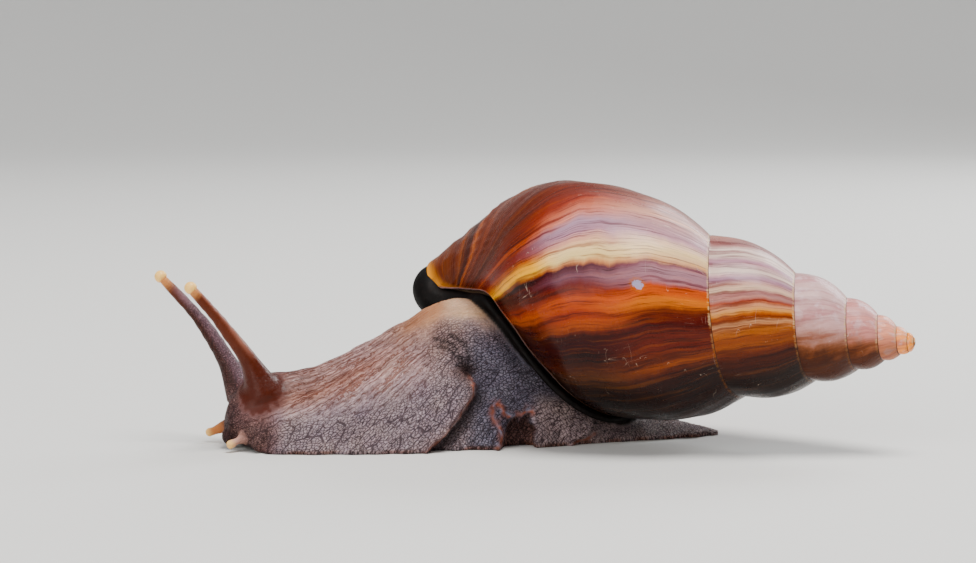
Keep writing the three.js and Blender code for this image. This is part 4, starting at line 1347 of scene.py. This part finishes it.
def skin_material(settings):
    """Moist skin: granules parted by cracks, long grooves on the neck, smooth where it is stretched."""
    material, n, dress = new_material("moist_skin")
    place, tint = n.place(), n.attribute("tint", "Color")
    names = ("groove", "plain", "coarse", "fine", "mantle", "sheen")
    groove, plain, coarse, fine, mantle, sheen = map(n.attribute, names)
    drift = n.noise(place, 0.9, 3.0, 0.5, "Color") - (0.5, 0.5, 0.5)
    warped = place + drift * 1.1

    # Granules of three sizes, on coordinates laid out flat over the flanks, and round beads on the face.
    spread = n.attribute("spread", "Vector") + drift * 1.1
    large, common, small = (n.cells(spread, size, dimensions="2D") for size in (1.3, 1.8, 3.1))
    granules = n.least(n.ramp(common, 0.0, 0.24), n.ramp(small, 0.0, 0.18, 0.5, 1.0))
    pebbles = n.least(n.ramp(large, 0.0, 0.17), n.ramp(common, 0.0, 0.16, 0.6, 1.0))
    beads = n.ramp(n.cells(warped, 3.3), 0.0, 0.3)
    beads = n.least(beads, n.ramp(n.cells(warped, 1.95), 0.0, 0.15, 0.4, 1.0))
    granules = n.blend(fine, n.blend(coarse, granules, pebbles), beads)

    # Long cracks and grooves, in coordinates that follow the neck and fan out over the flank.
    lay = n.attribute("lay", "Vector")
    cracks = n.cells((lay + drift * 0.6) * (0.62, 0.3, 1.0), 1.0, dimensions="2D")
    crack_where = n.ramp(n.noise(place, 0.5, 3, 0.6), 0.34, 0.52, 0.35, 1.0)
    flank = n.least(granules, n.blend(crack_where, 1.0, n.ramp(cracks, 0.01, 0.12)))
    lay = lay + drift * 1.2
    ridge = n.near(n.noise(lay * (0.95, 0.07, 1.0), 1.0, 2, 0.5), 0.5, 0.0, 0.065)
    thread = n.noise(lay * (2.0, 0.2, 1.0), 1.0)
    thread = n.ramp(abs(thread - 0.5), 0.0, 0.055, 0.4, 1.0)
    cross = n.ramp(n.cells(lay * (1.3, 0.6, 1.0), 1.0, dimensions="2D"), 0.0, 0.08, 0.55, 1.0)
    relief = n.blend(groove, flank, n.least(ridge, thread) * cross)
    relief = n.blend(plain * 0.9, relief, 0.85)

    # Colour: dark cracks, pale tops, and slow changes of hue.
    bare = 1.0 - plain
    grain = n.noise(place, 5.0, 3, 0.6)
    slow = n.ramp(n.noise(place, 0.25, 3, 0.6), 0.35, 0.65, 0.0, 0.4)
    each = n.ramp(n.cells(warped, 1.75, "F1", "Color"), 0.2, 0.8, 0, 0.35)
    tone = n.mix(slow, tint, n.mix(1.0, tint, (0.84, 0.82, 1.0), "MULTIPLY"))
    tone = n.mix(each * bare, tone, n.mix(1.0, tone, hexed("8E8890"), "MULTIPLY"))
    pale = n.mix(1.0, tone, hexed("6C5C5C"), "SCREEN")
    crack = n.mix(0.7, n.mix(1.0, tone, (0.2, 0.15, 0.18), "MULTIPLY"), settings.crack[:])
    crack = n.mix(groove, crack, n.mix(1.0, tone, (0.36, 0.21, 0.16), "MULTIPLY"))
    depth = n.ramp(relief, 0.72, 0.08) * bare
    base = n.layered(
        tone,
        (n.ramp(relief, 0.75, 1.0, 0, 0.3) * bare, pale),
        (n.ramp(grain, 0.52, 0.72, 0, 0.22) * bare, pale),
        (depth * 0.88, crack),
        (mantle, tint),
    )

    rough, pores = moist(n, place, 0.36, 0.56)
    rough = n.blend(sheen, rough, rough * 0.72) + depth * 0.2
    height = relief + grain * 0.14 + pores * 0.06
    dress({
        "Base Color": base, "Roughness": n.blend(mantle, rough, 0.6), "Normal": n.bump(height, 0.85, 0.26),
        "Subsurface Weight": 0.1, "Subsurface Radius": (1.0, 0.45, 0.3), "Subsurface Scale": 1.0 * MM,
        "Specular IOR Level": 0.12, "Coat Weight": sheen * 0.08, "Coat Roughness": 0.22,
    })
    return material


def mantle_material():
    """The mantle's collar: smooth, nearly black and moist, with faint folds along it."""
    material, n, dress = new_material("mantle_collar")
    place = n.place()
    fold = n.noise(place, 0.5, 3, 0.5)
    rough, pores = moist(n, place, 0.5, 0.68)
    dress({
        "Base Color": n.mix(n.ramp(fold, 0.5, 0.75, 0, 0.5), n.attribute("tint", "Color"), hexed("1C1210")),
        "Roughness": rough, "Normal": n.bump(fold + pores * 0.05, 0.4, 0.2), "Specular IOR Level": 0.09,
    })
    return material


def eye_material(settings):
    """Moist translucent bulb: cream, warmer where it joins the tentacle."""
    material, n, dress = new_material("eye_bulb")
    place = n.place()
    warm = n.ramp(n.attribute("join") + n.noise(place, 1.6, 3, 0.6) * 0.25, 0.45, 1.1)
    rough, pores = moist(n, place, 0.3, 0.42)
    dress({
        "Base Color": n.mix(warm, settings.bulb[:], settings.base[:]), "Roughness": rough,
        "Normal": n.bump(pores, 0.3, 0.05), "Subsurface Weight": 0.3,
        "Subsurface Radius": (1.0, 0.7, 0.4), "Subsurface Scale": 0.6 * MM,
    })
    return material

# ---- Operators ----

class SNAIL_OT_shell(bpy.types.Operator):
    """Make the shell, with its bands and growth lines"""

    bl_idname = "snail.shell"
    bl_label = "Shell"

    def execute(self, context):
        settings = context.scene.snail_shell
        shell = make_shell(settings, shell_material(settings))
        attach(shell, "root")
        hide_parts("shell")
        return {"FINISHED"}


class SNAIL_OT_skin(bpy.types.Operator):
    """Make the flesh as one skin without a seam"""

    bl_idname = "snail.skin"
    bl_label = "Skin"

    def execute(self, context):
        settings = context.scene.snail_skin
        skin = make_skin(settings, skin_material(settings), mantle_material())
        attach(skin, "root")
        flesh = [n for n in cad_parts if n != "shell" and not n.startswith("eye_")]
        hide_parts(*flesh)
        return {"FINISHED"}


class SNAIL_OT_eyes(bpy.types.Operator):
    """Make the two eye bulbs on the tips of the upper tentacles"""

    bl_idname = "snail.eyes"
    bl_label = "Eyes"

    def execute(self, context):
        material = eye_material(context.scene.snail_eyes)
        for side in ("left", "right"):
            node = "eye_" + side
            low, high = (np.array(corner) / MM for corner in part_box(node))
            centre, radius = (low + high) / 2, (high - low).min() / 2
            line = curve(FEELERS["upper_" + side][0], np.array([0.9, 1.0]))
            points, triangles, _ = welded(make_ball(centre, [radius] * 3))
            join = (points - centre) @ unit(line[0] - line[1]) / radius
            points = centre + (points - centre) * (1 - 0.06 * smooth(join, 0.3, 1))[:, None]
            bulb = new_object("eye_bulb_" + side, points, triangles, material)
            set_attributes(bulb.data, "POINT", {"join": join})
            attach(bulb, "root")
            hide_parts(node)
        return {"FINISHED"}


BOWL_FLAT, BOWL_CURVE = 800, 900  # in millimetres: the floor's flat part, and the radius of its rising edge
TARGET = Vector((-0.0073, 0, 0.0249))  # in metres: what the camera looks at
LIT_PLACE = Vector((0, 0, 0.02))  # in metres: what the lamps point at
SKY, SKY_STRENGTH = (0.9, 0.93, 1.0, 1), 0.5
# Lamps: place and width in metres, power in watts, colour.
LAMPS = {
    "key": ((0.15, -0.12, 0.95), 0.5, 13.0, (1.0, 0.98, 0.96)),
    "back": ((0.4, 0.5, 0.4), 0.4, 4.0, (0.96, 0.98, 1.0)),
    "front": ((-0.5, -0.62, 0.4), 0.7, 4.5, (1.0, 0.97, 0.94)),
}


def aimed(name, data, place, way):
    """A lamp or camera at a place, looking along a direction."""
    obj = bpy.data.objects.new(name, data)
    bpy.context.scene.collection.objects.link(obj)
    obj.location = place
    obj.rotation_euler = way.to_track_quat("-Z", "Y").to_euler()
    return obj


def make_floor(material):
    """A flat disc whose edge rises as a quarter circle, facing up."""
    bend = np.linspace(0, 1, 25) * math.pi / 2
    radius = np.concatenate([[0], BOWL_FLAT + BOWL_CURVE * np.sin(bend)])[:, None]
    height = np.concatenate([[0], BOWL_CURVE * (1 - np.cos(bend))])[:, None]
    angle = np.linspace(0, 2 * math.pi, 97)
    bowl = np.stack([radius * np.cos(angle), radius * np.sin(angle), height + 0 * angle], -1)
    points, triangles, _ = welded(bowl)
    if vertex_normals(points, triangles)[:, 2].sum() < 0:
        triangles = triangles[:, ::-1]
    return new_object("floor", points, triangles, material)


class SNAIL_OT_stage(bpy.types.Operator):
    """Make the floor, the lights and the camera"""

    bl_idname = "snail.stage"
    bl_label = "Stage"

    def execute(self, context):
        settings = context.scene.snail_stage
        material, _, dress = new_material("floor_plain")
        dress({"Base Color": settings.floor[:], "Roughness": 0.75})
        make_floor(material)

        world = bpy.data.worlds.new("studio")
        context.scene.world = world
        world.use_nodes = True
        background = world.node_tree.nodes["Background"]
        background.inputs[0].default_value = SKY
        background.inputs[1].default_value = SKY_STRENGTH
        for name, (place, size, power, tone) in LAMPS.items():
            lamp = bpy.data.lights.new(name, "AREA")
            lamp.shape = "DISK"
            lamp.size = size
            lamp.energy = power
            lamp.color = tone
            aimed(name, lamp, place, LIT_PLACE - Vector(place))

        camera = bpy.data.cameras.new("camera")
        camera.lens = settings.lens
        camera.sensor_width = 36
        camera.clip_start = 0.01
        back = Vector((0, -math.cos(settings.elevation), math.sin(settings.elevation)))
        context.scene.camera = aimed("camera", camera, TARGET + back * settings.distance, -back)
        return {"FINISHED"}


class SNAIL_PT_panel(bpy.types.Panel):
    """The model's pieces"""

    bl_idname = "SNAIL_PT_panel"
    bl_label = "Giant land snail"
    bl_space_type = "VIEW_3D"
    bl_region_type = "UI"
    bl_category = "Snail"

    def draw(self, context):
        for operator in OPERATORS:
            self.layout.operator(operator.bl_idname)


OPERATORS = (SNAIL_OT_shell, SNAIL_OT_skin, SNAIL_OT_eyes, SNAIL_OT_stage)
GROUPS = {
    "snail_shell": SNAIL_PG_shell, "snail_skin": SNAIL_PG_skin,
    "snail_eyes": SNAIL_PG_eyes, "snail_stage": SNAIL_PG_stage,
}


def register():
    for group in GROUPS.values():
        bpy.utils.register_class(group)
    for operator in OPERATORS:
        bpy.utils.register_class(operator)
    bpy.utils.register_class(SNAIL_PT_panel)
    for name, group in GROUPS.items():
        setattr(bpy.types.Scene, name, PointerProperty(type=group))


def unregister():
    for name in GROUPS:
        delattr(bpy.types.Scene, name)
    bpy.utils.unregister_class(SNAIL_PT_panel)
    for operator in reversed(OPERATORS):
        bpy.utils.unregister_class(operator)
    for group in reversed(list(GROUPS.values())):
        bpy.utils.unregister_class(group)


def main():
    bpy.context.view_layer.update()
    register()
    bpy.ops.snail.shell()
    bpy.ops.snail.skin()
    bpy.ops.snail.eyes()
    bpy.ops.snail.stage()


if __name__ == "__main__":
    main()
